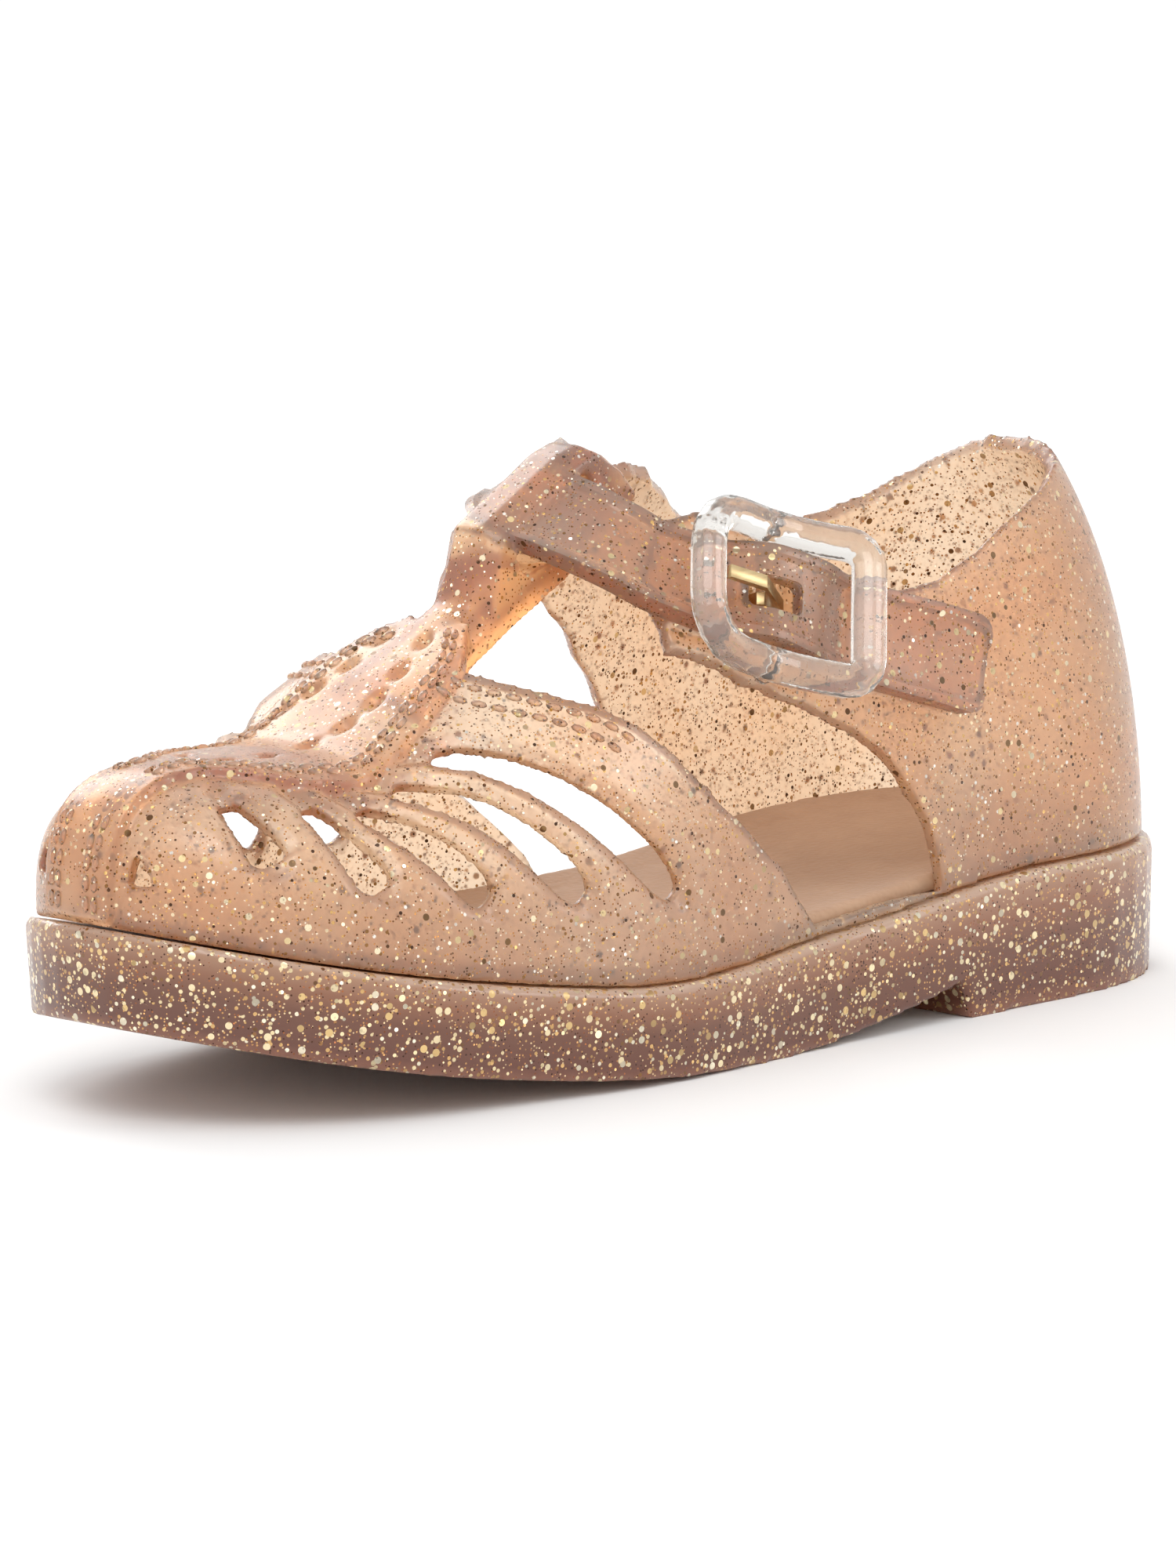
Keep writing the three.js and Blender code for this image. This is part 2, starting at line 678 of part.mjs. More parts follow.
const circle = (radius, steps) => spread(0, steps - 1, steps - 1).map((i) => {
  const turn = (2 * Math.PI * i) / steps;
  return [radius * Math.cos(turn), radius * Math.sin(turn)];
});

// Middle line of the buckle's hoop, in the plane of the buckle
function hoopLine() {
  const [length, height] = [buckleLength - buckleBar, buckleHeight - buckleBar];
  const points = [];
  for (const [su, sv, radius, start] of [
    [1, 1, buckleHeelRound, 0],
    [-1, 1, buckleToeRound, 1],
    [-1, -1, buckleToeRound, 2],
    [1, -1, buckleHeelRound, 3],
  ]) {
    const centre = [su * (length / 2 - radius), sv * (height / 2 - radius)];
    for (const i of spread(0, 1, 4)) {
      const turn = (Math.PI / 2) * (start + i);
      points.push([centre[0] + radius * Math.cos(turn), centre[1] + radius * Math.sin(turn)]);
    }
    if (start % 2 === 0) {
      const run = sv * (height / 2);
      for (const share of [0.5, 0.17, -0.17, -0.5]) points.push([(share * su * length) / 2, run]);
    }
  }
  return points;
}

function makeBuckleFrame() {
  const line = hoopLine();
  const rise = ([u]) => buckleLift + buckleBow * ((2 * u) / (buckleLength - buckleBar)) ** 2;
  const centres = line.map((p) => new THREE.Vector3(p[0], p[1], rise(p)));
  const rings = centres.map((centre, i) => {
    const [before, after] = [-1, 1].map((step) => centres[(i + step + centres.length) % centres.length]);
    const forward = after.clone().sub(before);
    const side = forward.clone().cross(new THREE.Vector3(0, 0, 1)).normalize();
    const up = side.clone().cross(forward).normalize();
    return circle(buckleBar / 2, roundSteps).map(([s, n]) =>
      centre.clone().addScaledVector(side, s).addScaledVector(up, n));
  });
  let frame = loft(rings, true).add(pin(pinWidth / 2, buckleHeight - buckleBar));
  for (const side of [-1, 1]) {
    const lug = new THREE.CylinderGeometry(0.36 * buckleBar, 0.3 * buckleBar, buckleLift, roundSteps);
    lug.rotateX(Math.PI / 2);
    lug.translate(0, (side * (buckleHeight - buckleBar)) / 2, buckleLift / 2);
    frame = frame.add(fromGeometry(lug));
  }
  return frame;
}

// The centre pin, or a rod of another width on the same axis
function pin(radius, length, middle = 0) {
  const rod = new THREE.CylinderGeometry(radius, radius, length, roundSteps);
  rod.translate(0, middle, pinLift);
  return fromGeometry(rod);
}

function makeProng() {
  const inner = pinWidth / 2 + fit;
  const knuckle = inner + prongThickness;
  const shifted = (points) => points.map(([u, n]) => [u, n + pinLift]);
  const barEdge = -(buckleLength / 2 - buckleBar);
  const resting = buckleLift + buckleBow;
  const arm = [
    [knuckle * 0.3, pinLift + knuckle * 0.6],
    [-knuckle * 0.5, pinLift + knuckle * 0.85],
    [barEdge * 0.34, resting - 0.3 * prongThickness],
    [barEdge + 2 * fit, resting],
    [barEdge + 2 * fit, resting + 0.7 * prongThickness],
    [barEdge * 0.38, resting + 0.65 * prongThickness],
    [-knuckle * 0.1, pinLift + knuckle * 1.45],
    [knuckle * 0.95, pinLift + knuckle * 0.6],
  ];
  return sidePrism(shifted(circle(knuckle, roundSteps)), prongWidth / 2)
    .add(sidePrism(arm, prongWidth / 2))
    .subtract(sidePrism(shifted(circle(inner, roundSteps)), prongWidth));
}

// The hole in the strap that lets the prong through, and the window under it in the quarter
function prongHole(bottom, top) {
  const [half, front, back] = [prongWidth / 2 + fit, -4.2, 2.9];
  const corner = 0.6;
  const outline = [
    [front + corner, -half], [back - corner, -half], [back, corner - half], [back, half - corner],
    [back - corner, half], [front + corner, half], [front, half - corner], [front, corner - half],
  ];
  return planPrism(outline, bottom, top);
}

// Two short sleeves on the quarter that hold the buckle's pin
function makeSleeves() {
  const radius = pinWidth / 2 + fit + sleeveWall;
  const length = 3.2;
  const middle = prongWidth / 2 + 2 * fit + length / 2;
  return pin(radius, length, middle).add(pin(radius, length, -middle));
}

function toMesh(manifold, name, material) {
  const mesh = manifold.getMesh();
  const geometry = new THREE.BufferGeometry();
  geometry.setAttribute('position', new THREE.Float32BufferAttribute(mesh.vertProperties, 3));
  geometry.setIndex(new THREE.Uint32BufferAttribute(mesh.triVerts, 1));
  geometry.computeVertexNormals();
  const part = new THREE.Mesh(geometry, material);
  part.name = name;
  return part;
}

const onQuarter = buckleAxes().toArray();
const placed = (manifold) => manifold.transform(onQuarter);

const shell = lastBody(0, 0).subtract(lastBody(-wall, 2 * wall));
const quarters = shell.intersect(region(outerQuarter, -3 * wall, 3 * wall))
  .add(placed(makeSleeves()))
  .subtract(placed(pin(pinWidth / 2 + fit, buckleHeight)))
  .subtract(placed(prongHole(-3 * wall, pinLift + pinWidth)))
  .add(shell.intersect(region(innerQuarter, -3 * wall, 3 * wall)));
const keeper = makeBar()
  .subtract(sidePrism(tunnelOutline.map(sideView), loopWidth))
  .subtract(makeStrap(strapPlay));
let upper = makeVamp(shell).add(quarters).add(makeApron()).add(keeper);
for (const side of [-1, 1]) {
  for (const row of slotTable) upper = upper.subtract(slotCutter(row, side));
  upper = upper.subtract(toeHoleCutter(side));
}
upper = upper.add(makeStrap(0).subtract(placed(prongHole(pinLift, 4 * buckleBar)))).simplify(finest);

const jelly = new THREE.MeshStandardMaterial({ color: 0xe0b896, roughness: 0.25, metalness: 0 });
const soleJelly = new THREE.MeshStandardMaterial({ color: 0xa9785c, roughness: 0.3, metalness: 0 });
const footbedFoam = new THREE.MeshStandardMaterial({ color: 0xb58f68, roughness: 0.8, metalness: 0 });
const clearPlastic = new THREE.MeshStandardMaterial({ color: 0xd9d6d0, roughness: 0.15, metalness: 0 });
const brass = new THREE.MeshStandardMaterial({ color: 0xb08d57, roughness: 0.35, metalness: 1 });

const sandal = new THREE.Group();
sandal.add(toMesh(makeOutsole(), 'outsole', soleJelly));
sandal.add(toMesh(makeFootbed(), 'footbed', footbedFoam));
sandal.add(toMesh(upper, 'upper', jelly));
sandal.add(toMesh(placed(makeBuckleFrame()), 'buckle_frame', clearPlastic));
sandal.add(toMesh(placed(makeProng()), 'buckle_prong', brass));

export default sandal;
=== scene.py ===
# Looks of the child's jelly sandal, left foot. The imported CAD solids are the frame, and each piece here
# stands for one of them or lies on one. Metres, except the last's own numbers, which are millimetres.
import math

import bmesh
import bpy
import numpy as np
from mathutils import Matrix, Vector
from mathutils.bvhtree import BVHTree


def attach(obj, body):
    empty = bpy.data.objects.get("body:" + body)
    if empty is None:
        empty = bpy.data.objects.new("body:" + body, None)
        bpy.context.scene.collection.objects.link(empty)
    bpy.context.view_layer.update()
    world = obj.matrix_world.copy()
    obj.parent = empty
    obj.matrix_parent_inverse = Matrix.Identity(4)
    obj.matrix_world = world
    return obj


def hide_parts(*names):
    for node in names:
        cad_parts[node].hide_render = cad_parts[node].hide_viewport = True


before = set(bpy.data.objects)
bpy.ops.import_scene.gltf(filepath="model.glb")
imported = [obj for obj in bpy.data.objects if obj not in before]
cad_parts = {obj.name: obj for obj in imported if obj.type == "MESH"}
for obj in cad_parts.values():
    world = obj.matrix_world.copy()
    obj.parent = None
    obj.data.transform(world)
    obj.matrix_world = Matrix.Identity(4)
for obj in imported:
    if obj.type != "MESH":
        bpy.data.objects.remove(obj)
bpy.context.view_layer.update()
MM = 0.001


# Small tools

def linear(code):
    """An sRGB hex colour as the linear colour that a shader takes."""
    parts = [int(code[i:i + 2], 16) / 255 for i in (1, 3, 5)]
    parts = [p / 12.92 if p <= 0.04045 else ((p + 0.055) / 1.055) ** 2.4 for p in parts]
    return (*parts, 1.0)


def add_node(tree, kind, inputs=None, **settings):
    """Adds one node with its settings, its plain values and its links."""
    node = tree.nodes.new(kind)
    for name, value in settings.items():
        setattr(node, name, value)
    for name, value in (inputs or {}).items():
        if isinstance(value, bpy.types.NodeSocket):
            tree.links.new(value, node.inputs[name])
        else:
            node.inputs[name].default_value = value
    return node


def deselect():
    bpy.ops.object.select_all(action="DESELECT")


def activate(piece):
    deselect()
    piece.select_set(True)
    bpy.context.view_layer.objects.active = piece


def finish_with(piece, kind, **settings):
    """Adds a modifier to a piece and applies it."""
    activate(piece)
    modifier = piece.modifiers.new(kind.lower(), kind)
    for name, value in settings.items():
        setattr(modifier, name, value)
    bpy.ops.object.modifier_apply(modifier=modifier.name)


def copy_of_node(node, name):
    """A merged copy of a CAD node's mesh as a new piece."""
    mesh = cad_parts[node].data.copy()
    mesh.name = name
    mesh.materials.clear()
    piece = bpy.data.objects.new(name, mesh)
    bpy.context.collection.objects.link(piece)
    shape = bmesh.new()
    shape.from_mesh(mesh)
    bmesh.ops.remove_doubles(shape, verts=shape.verts, dist=2e-6)
    shape.to_mesh(mesh)
    shape.free()
    return piece


def stand_for(piece, node, material):
    """Gives a finished piece its material and lets it stand for a CAD node."""
    piece.data.materials.clear()
    piece.data.materials.append(material)
    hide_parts(node)
    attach(piece, "root")


def remesh(piece, size):
    finish_with(piece, "REMESH", mode="VOXEL", voxel_size=size * MM, adaptivity=0.0, use_smooth_shade=True)


def skin_of(piece):
    return BVHTree.FromPolygons([v.co.copy() for v in piece.data.vertices],
                                [tuple(p.vertices) for p in piece.data.polygons])


def soften(piece, rounds):
    """Evens a dense mesh without shrinking it: each pass inwards is followed by one outwards."""
    for _ in range(rounds):
        finish_with(piece, "SMOOTH", factor=0.5, iterations=1)
        finish_with(piece, "SMOOTH", factor=-0.52, iterations=1)


def ease(piece, weights, rounds):
    """Evens only the weighted points of a piece, each as far as its weight says."""
    group = piece.vertex_groups.new(name="eased")
    for level in range(1, 6):
        chosen = np.nonzero(np.round(weights * 5).astype(int) == level)[0]
        group.add([int(i) for i in chosen], level / 5, "REPLACE")
    finish_with(piece, "SMOOTH", factor=0.5, iterations=rounds, vertex_group=group.name)
    piece.vertex_groups.remove(piece.vertex_groups["eased"])


def points_of(piece):
    values = np.empty(len(piece.data.vertices) * 3)
    piece.data.vertices.foreach_get("co", values)
    return values.reshape(-1, 3) / MM


def facings_of(piece):
    values = np.empty(len(piece.data.vertices) * 3)
    piece.data.vertices.foreach_get("normal", values)
    return values.reshape(-1, 3)


def set_points(piece, points):
    piece.data.vertices.foreach_set("co", (points * MM).ravel())
    piece.data.update()


# The camera's place, which also finds what a pixel of the photograph shows

def camera_axes(turn, lift, roll):
    turn, lift, roll = (math.radians(v) for v in (turn, lift, roll))
    back = Vector((math.sin(turn) * math.cos(lift), -math.cos(turn) * math.cos(lift), math.sin(lift)))
    right = Vector((math.cos(turn), math.sin(turn), 0))
    up = back.cross(right)
    return right * math.cos(roll) + up * math.sin(roll), up * math.cos(roll) - right * math.sin(roll), back


SIGHT_RIGHT, SIGHT_UP, SIGHT_BACK = camera_axes(-43.5, 9.56, -0.84)
PICTURE_WIDTH, PICTURE_HEIGHT = 1500, 2000
SCALE = 10.81
DISTANCE = 1600.0
SIGHT_CENTRE = Vector((0, -0.3, 30)) - SIGHT_RIGHT * (18.16 / SCALE) - SIGHT_UP * (3.26 / SCALE)
EYE = SIGHT_CENTRE + SIGHT_BACK * DISTANCE


def seen_at(tree, px, py):
    """The point of a surface, in millimetres, that a pixel of the picture shows."""
    right, up = px - PICTURE_WIDTH / 2, PICTURE_HEIGHT / 2 - py
    way = SIGHT_RIGHT * right + SIGHT_UP * up - SIGHT_BACK * (SCALE * DISTANCE)
    spot, facing, _, _ = tree.ray_cast(EYE * MM, way.normalized())
    return np.array(spot) / MM, np.array(facing)


# The last, on the CAD model's own numbers, in millimetres

SOLE_LENGTH = 160.0
BALL_WIDTH = 63.0
BALL_THICKNESS = 10.8
HEEL_THICKNESS = 16.4
TOE_SPRING = 11.8
LEDGE = 1.3
UPPER_HEIGHT = 76.0
WALL = 2.0
APRON_STEP = 1.2
APRON_SPAN = 12.5
APRON_CROWN = 0.9
# Most that the facets may cut off, and the number of triangles that the upper's mesh is thinned to
MOST_CUT_OFF = 1.4
MOST_TRIANGLES = 195000

# Share of the length, centre and half width
SOLE = [(0, 0.0463, 0.448), (0.22, 0.0203, 0.463), (0.375, 0.0143, 0.503), (0.594, -0.0487, 0.395),
        (0.81, -0.0297, 0.392), (1, -0.0047, 0.392)]
# Share of the length, shares of the ball and heel thickness
EDGE = [(0, 1.055, 0), (0.34, 0.995, 0), (0.594, 0.58, 0.435), (0.81, 0, 1), (1, 0, 0.988)]
# Share of the length, crest height, crest offset and squareness
CREST = [(0, 0.517, 0.0243, 3.4), (0.07, 0.514, 0.0203, 2.9), (0.14, 0.511, 0.0173, 2.5),
         (0.19, 0.548, 0.0163, 2.4), (0.25, 0.618, 0.0163, 2.4), (0.35, 0.71, 0.0163, 2.4),
         (0.42, 0.773, 0.0143, 2.35), (0.5, 0.842, 0.0053, 2.3), (0.6, 0.905, -0.0027, 2.3),
         (0.7, 0.947, -0.0127, 2.3), (0.8, 0.98, -0.0177, 2.3), (0.93, 0.998, -0.0137, 2.15),
         (1, 1, -0.0097, 2.05)]
# Share of the length, centre and half width of the raised apron
APRON = [(-0.08, 0.0663, 0.095), (0.085, 0.0593, 0.09), (0.115, 0.0473, 0.14), (0.15, 0.0243, 0.195),
         (0.2, 0.0043, 0.205), (0.25, 0.0043, 0.19), (0.3, 0.0053, 0.165), (0.326, 0.0063, 0.118),
         (0.342, 0.002, 0.076)]
# Across and along of the vamp's rear edge
VAMP_REAR = [(0, 0.352), (0.17, 0.354), (0.231, 0.36), (0.304, 0.369), (0.409, 0.389), (0.56, 0.427),
             (0.741, 0.466), (0.828, 0.489), (0.912, 0.515), (1, 0.538)]
# Upper end, middle and lower end of each slot, as (along, across)
SLOTS = [((0.127, 0.36), (0.153, 0.55), (0.171, 0.71)), ((0.201, 0.38), (0.228, 0.58), (0.249, 0.76)),
         ((0.244, 0.4), (0.287, 0.64), (0.321, 0.845)), ((0.272, 0.365), (0.334, 0.655), (0.381, 0.87)),
         ((0.306, 0.355), (0.378, 0.655), (0.439, 0.893))]
SLOT_WIDTH = 4.8
# Soft rims of the slots, and the grooves that run on from them, as a share of a slot's length
RIM_DEPTH = 0.6
GROOVE_DEPTH = 0.95
GROOVE_LENGTH = 0.4
# Place on a slot's length and share of its width there
SLOT_SHAPE = [(0, 0.24), (0.025, 0.46), (0.09, 0.62), (0.28, 0.76), (0.48, 0.88), (0.68, 0.97), (0.86, 1),
              (0.94, 0.86), (0.985, 0.6), (1, 0.36)]


def curve(rows, k):
    """Smooth curve through column k of a table, with no overshoot between rows."""
    x = np.array([row[0] for row in rows], float)
    y = np.array([row[k] for row in rows], float)
    slope = np.diff(y) / np.diff(x)
    product = slope[:-1] * slope[1:]
    total = slope[:-1] + slope[1:]
    inner = np.where(product > 0, 2 * product / np.where(total == 0, 1, total), 0)
    tangent = np.concatenate([slope[:1], inner, slope[-1:]])

    def value(v):
        v = np.clip(v, x[0], x[-1])
        i = np.clip(np.searchsorted(x, v, side="right") - 1, 0, len(x) - 2)
        h = x[i + 1] - x[i]
        u = (v - x[i]) / h
        start = (1 + 2 * u) * (1 - u) ** 2 * y[i] + u * (1 - u) ** 2 * h * tangent[i]
        return start + u * u * (3 - 2 * u) * y[i + 1] + u * u * (u - 1) * h * tangent[i + 1]

    return value


sole_centre, sole_half = curve(SOLE, 1), curve(SOLE, 2)
edge_ball, edge_heel = curve(EDGE, 1), curve(EDGE, 2)
crest_height, crest_offset, crest_power = curve(CREST, 1), curve(CREST, 2), curve(CREST, 3)
apron_centre, apron_half = curve(APRON, 1), curve(APRON, 2)
vamp_rear = curve(VAMP_REAR, 1)


def sole_lift(x):
    ahead = np.maximum(-0.0125 * SOLE_LENGTH - x, 0) / (0.4875 * SOLE_LENGTH)
    return TOE_SPRING * ahead ** 1.8


def sole_thickness(x):
    at = np.clip(x / SOLE_LENGTH + 0.5, 0, 1)
    return BALL_THICKNESS * edge_ball(at) + HEEL_THICKNESS * edge_heel(at)


def sole_top(x):
    return sole_lift(x) + sole_thickness(x)


def rounded(distance, reach, power):
    u = np.clip((reach - distance) / reach, 0, 1)
    return (1 - u ** power) ** (1 / power)


def outline_point(along, side):
    at = (1 - np.cos(np.pi * along)) / 2
    ends = rounded(at * SOLE_LENGTH, 0.2375 * SOLE_LENGTH, 2.13)
    ends = ends * rounded((1 - at) * SOLE_LENGTH, 0.169 * SOLE_LENGTH, 2.51)
    return SOLE_LENGTH * (at - 0.5), BALL_WIDTH * (sole_centre(at) + side * sole_half(at) * ends)


def sole_outline(along, side, grow):
    step = 1e-3
    x, y = outline_point(along, side)
    ax, ay = outline_point(np.clip(along - step, 0, 1), side)
    bx, by = outline_point(np.clip(along + step, 0, 1), side)
    run_x, run_y = bx - ax, by - ay
    length = np.maximum(np.hypot(run_x, run_y), 1e-9)
    out_x = np.where(along < step, -1.0, np.where(along > 1 - step, 1.0, -side * run_y / length))
    out_y = np.where((along < step) | (along > 1 - step), 0.0, side * run_x / length)
    return x + grow * out_x, y + grow * out_y


def last_point(along, across, grow=0.0):
    """Point of the last: along from the toe (0) to the heel (1), across from the outer sole edge (-1)
    over the crest (0) to the inner one (1)."""
    along, across = np.broadcast_arrays(np.asarray(along, float), np.asarray(across, float))
    across = np.where(along > 1, -across, across)
    along = np.where(along > 1, 2 - along, along)
    side = np.where(across < 0, -1.0, 1.0)
    at = (1 - np.cos(np.pi * along)) / 2
    climb = (1 - np.minimum(np.abs(across), 1)) * np.pi / 2
    power = 2 / crest_power(at)
    inward = 1 - np.maximum(np.cos(climb), 0) ** power
    upward = np.sin(climb) ** power
    fx, fy = sole_outline(along, side, grow - LEDGE)
    base = sole_top(fx) + 0.3
    cx = SOLE_LENGTH * (-0.375 + 0.708 * at)
    cy = BALL_WIDTH * crest_offset(at)
    z = base + (UPPER_HEIGHT * crest_height(at) + grow - base) * upward
    return np.stack([fx + (cx - fx) * inward, fy + (cy - fy) * inward, z], -1)


def last_normal(along, across):
    d = 4e-3
    a = last_point(along + d, across) - last_point(along - d, across)
    b = last_point(along, across + d) - last_point(along, across - d)
    n = np.cross(a, b)
    return n / np.linalg.norm(n, axis=-1, keepdims=True)


def flat_last(walk=36, climb=9):
    """The last as the CAD model facets it, with the place on the last of each corner of each facet."""
    index = np.arange(2 * walk)
    along = np.where(index <= walk, index, 2 * walk - index) / walk
    side = np.where(index <= walk, -1, 1)
    across = side[:, None] * (1 - np.arange(climb + 1) / climb)
    corners = last_point(np.repeat(along, climb + 1), across.ravel())
    faces, places = [], []
    for i in range(2 * walk):
        a, b = i * (climb + 1), ((i + 1) % (2 * walk)) * (climb + 1)
        half = -1 if i < walk else 1
        for j in range(climb):
            for tri in ((a + j, b + j, b + j + 1), (a + j, b + j + 1, a + j + 1)):
                faces.append(tri)
                places.append([(along[k // (climb + 1)], half * (1 - (k % (climb + 1)) / climb))
                               for k in tri])
    return corners, faces, np.array(places)


def places_on_last(points):
    """For each point its place on the last, its distance outside it, the way out, and what the facets
    cut off there."""
    corners, faces, places = flat_last()
    tree = BVHTree.FromPolygons([Vector(p) for p in corners], faces)
    found = [tree.find_nearest(p) for p in points]
    spots = np.array([f[0][:] for f in found])
    index = np.array([f[2] for f in found])
    tri = corners[np.array(faces)[index]]
    v0, v1, v2 = tri[:, 1] - tri[:, 0], tri[:, 2] - tri[:, 0], spots - tri[:, 0]
    d00, d01, d11 = (v0 * v0).sum(1), (v0 * v1).sum(1), (v1 * v1).sum(1)
    d20, d21 = (v2 * v0).sum(1), (v2 * v1).sum(1)
    area = d00 * d11 - d01 * d01
    flat = area < 1e-9
    area = np.where(flat, 1, area)
    v = np.where(flat, 0, (d11 * d20 - d01 * d21) / area)
    w = np.where(flat, 0, (d00 * d21 - d01 * d20) / area)
    place = places[index]
    place = (1 - v - w)[:, None] * place[:, 0] + v[:, None] * place[:, 1] + w[:, None] * place[:, 2]
    true = last_point(place[:, 0], place[:, 1])
    normal = last_normal(np.clip(place[:, 0], 0.01, 0.99), place[:, 1])
    outside = ((points - spots) * normal).sum(1)
    cut_off = true - spots
    length = np.linalg.norm(cut_off, axis=1, keepdims=True)
    cut_off *= np.minimum(1, MOST_CUT_OFF / np.maximum(length, 1e-9))
    return place, outside, normal, cut_off


# Materials

def ramp_of(tree, factor, shades, blend):
    """Colour that runs through the given shades."""
    node = add_node(tree, "ShaderNodeValToRGB", {0: factor})
    ramp = node.color_ramp
    ramp.interpolation = blend
    ramp.elements[0].position, ramp.elements[0].color = shades[0][0], linear(shades[0][1])
    ramp.elements[1].position, ramp.elements[1].color = shades[-1][0], linear(shades[-1][1])
    for at, code in shades[1:-1]:
        ramp.elements.new(at).color = linear(code)
    return node.outputs[0]


def flakes(tree, place, spacing, share, radius):
    """Thin round flakes at random places: where they are, a random number for each, and how each leans.
    Spacing and radius are in millimetres, and the share is how many places hold a flake."""
    cells = add_node(tree, "ShaderNodeTexVoronoi", {"Vector": place, "Scale": 1 / (spacing * MM)})
    dice = add_node(tree, "ShaderNodeSeparateColor", {0: cells.outputs["Color"]})
    near = add_node(tree, "ShaderNodeMath", {0: cells.outputs["Distance"], 1: radius / spacing},
                    operation="LESS_THAN")
    held = add_node(tree, "ShaderNodeMath", {0: dice.outputs[0], 1: 1 - share}, operation="GREATER_THAN")
    mask = add_node(tree, "ShaderNodeMath", {0: near.outputs[0], 1: held.outputs[0]}, operation="MULTIPLY")
    lean = add_node(tree, "ShaderNodeVectorMath", {0: cells.outputs["Color"], 1: (0.5, 0.5, 0.5)},
                    operation="SUBTRACT")
    return mask.outputs[0], dice.outputs[1], lean.outputs[0]


def glitter_jelly(name, body, layers, surface, soak):
    """Soft clear PVC with flakes stirred in, injection moulded: pale see-through walls, orange where the eye
    looks along one or through several, a soft wet gloss, and flakes on three scales that flash one by one.
    Body gives the tint and the attribute along which it runs, if any."""
    material = bpy.data.materials.new(name)
    material.use_nodes = True
    tree = material.node_tree
    shader = tree.nodes["Principled BSDF"]
    place = add_node(tree, "ShaderNodeTexCoord").outputs["Object"]
    attribute, shades = body
    if attribute:
        blend = add_node(tree, "ShaderNodeAttribute", attribute_name=attribute).outputs["Fac"]
    else:
        clouds = add_node(tree, "ShaderNodeTexNoise", {"Vector": place, "Scale": 1 / 0.02, "Detail": 2.0})
        blend = clouds.outputs["Fac"]
    colour = ramp_of(tree, blend, shades, "LINEAR")
    normal = add_node(tree, "ShaderNodeNewGeometry").outputs["Normal"]
    metal = None
    for spacing, share, radius, shine, tints in layers:
        mask, dice, lean = flakes(tree, place, spacing, share, radius)
        tint = ramp_of(tree, dice, tints, "CONSTANT")
        colour = add_node(tree, "ShaderNodeMix", {"Factor": mask, 6: colour, 7: tint},
                          data_type="RGBA").outputs[2]
        tilt = add_node(tree, "ShaderNodeVectorMath", {0: lean, 3: mask}, operation="SCALE")
        normal = add_node(tree, "ShaderNodeVectorMath", {0: normal, 1: tilt.outputs[0]},
                          operation="ADD").outputs[0]
        gleam = add_node(tree, "ShaderNodeMath", {0: mask, 1: shine}, operation="MULTIPLY").outputs[0]
        metal = gleam if metal is None else add_node(
            tree, "ShaderNodeMath", {0: metal, 1: gleam}, operation="MAXIMUM").outputs[0]
    level = add_node(tree, "ShaderNodeVectorMath", {0: normal}, operation="NORMALIZE")
    tree.links.new(colour, shader.inputs["Base Color"])
    tree.links.new(metal, shader.inputs["Metallic"])
    tree.links.new(level.outputs[0], shader.inputs["Normal"])
    for socket, value in surface.items():
        shader.inputs[socket].default_value = value
    depth = add_node(tree, "ShaderNodeVolumeAbsorption", {"Color": (*soak[0], 1.0), "Density": soak[1]})
    tree.links.new(depth.outputs[0], tree.nodes["Material Output"].inputs["Volume"])
    return material


# Spacing, share, radius in millimetres, shine, and the tints with the place from which each is drawn
DUST = (0.36, 0.4, 0.12, 0.85,
        [(0, "#7A5230"), (0.25, "#B98045"), (0.5, "#E2B272"), (0.68, "#FFF1D8"), (0.88, "#5B3B22")])
GLITTER = (0.85, 0.55, 0.22, 0.9,
           [(0, "#8A6236"), (0.25, "#D8AE6E"), (0.5, "#F6E0B8"), (0.75, "#FFF8EC"), (0.88, "#553822")])
FLAKES = (1.9, 0.35, 0.42, 0.9, [(0, "#E8CF9C"), (0.5, "#F7E7C3"), (0.8, "#8A683F")])
SOLE_DUST = (0.38, 0.55, 0.12, 0.9,
             [(0, "#D9A468"), (0.3, "#F0D0A0"), (0.5, "#A9683F"), (0.75, "#54301F")])
SOLE_GLITTER = (0.75, 0.62, 0.25, 0.9,
                [(0, "#F3DDAE"), (0.4, "#D9AE72"), (0.7, "#FFF3D6"), (0.86, "#9A6E45")])
SOLE_FLAKES = (1.5, 0.5, 0.46, 0.9, [(0, "#F6E3B8"), (0.5, "#E3C084"), (0.8, "#FFF3D6")])
# Share of the sole's height and its colour there, from the floor to the top rim: lighter at the floor,
# darkest low down, lighter upwards, and pale at the top as a painted highlight along the rim
SOLE_TONES_AND_RIM_HIGHLIGHT = [(0, "#A06850"), (0.14, "#774634"), (0.5, "#80503A"), (0.72, "#A26C4E"), (0.92, "#BE9072"),
               (1, "#E2C2AA")]
jelly = glitter_jelly(
    "moulded glitter PVC jelly, peach", ("", [(0.3, "#FFE0C4"), (0.7, "#FFF2E4")]), [DUST, GLITTER, FLAKES],
    {"Roughness": 0.36, "IOR": 1.46, "Transmission Weight": 0.9, "Coat Weight": 0.35, "Coat Roughness": 0.2},
    ((0.92, 0.57, 0.05), 165.0))
# The brown sole's colour runs with its height, and its pale top end is a painted highlight along the rim
sole_jelly = glitter_jelly(
    "moulded glitter PVC jelly, brown, painted rim highlight", ("height", SOLE_TONES_AND_RIM_HIGHLIGHT), [SOLE_DUST, SOLE_GLITTER, SOLE_FLAKES],
    {"Roughness": 0.36, "IOR": 1.46, "Transmission Weight": 0.35, "Coat Weight": 0.5, "Coat Roughness": 0.2},
    ((0.8, 0.5, 0.3), 60.0))


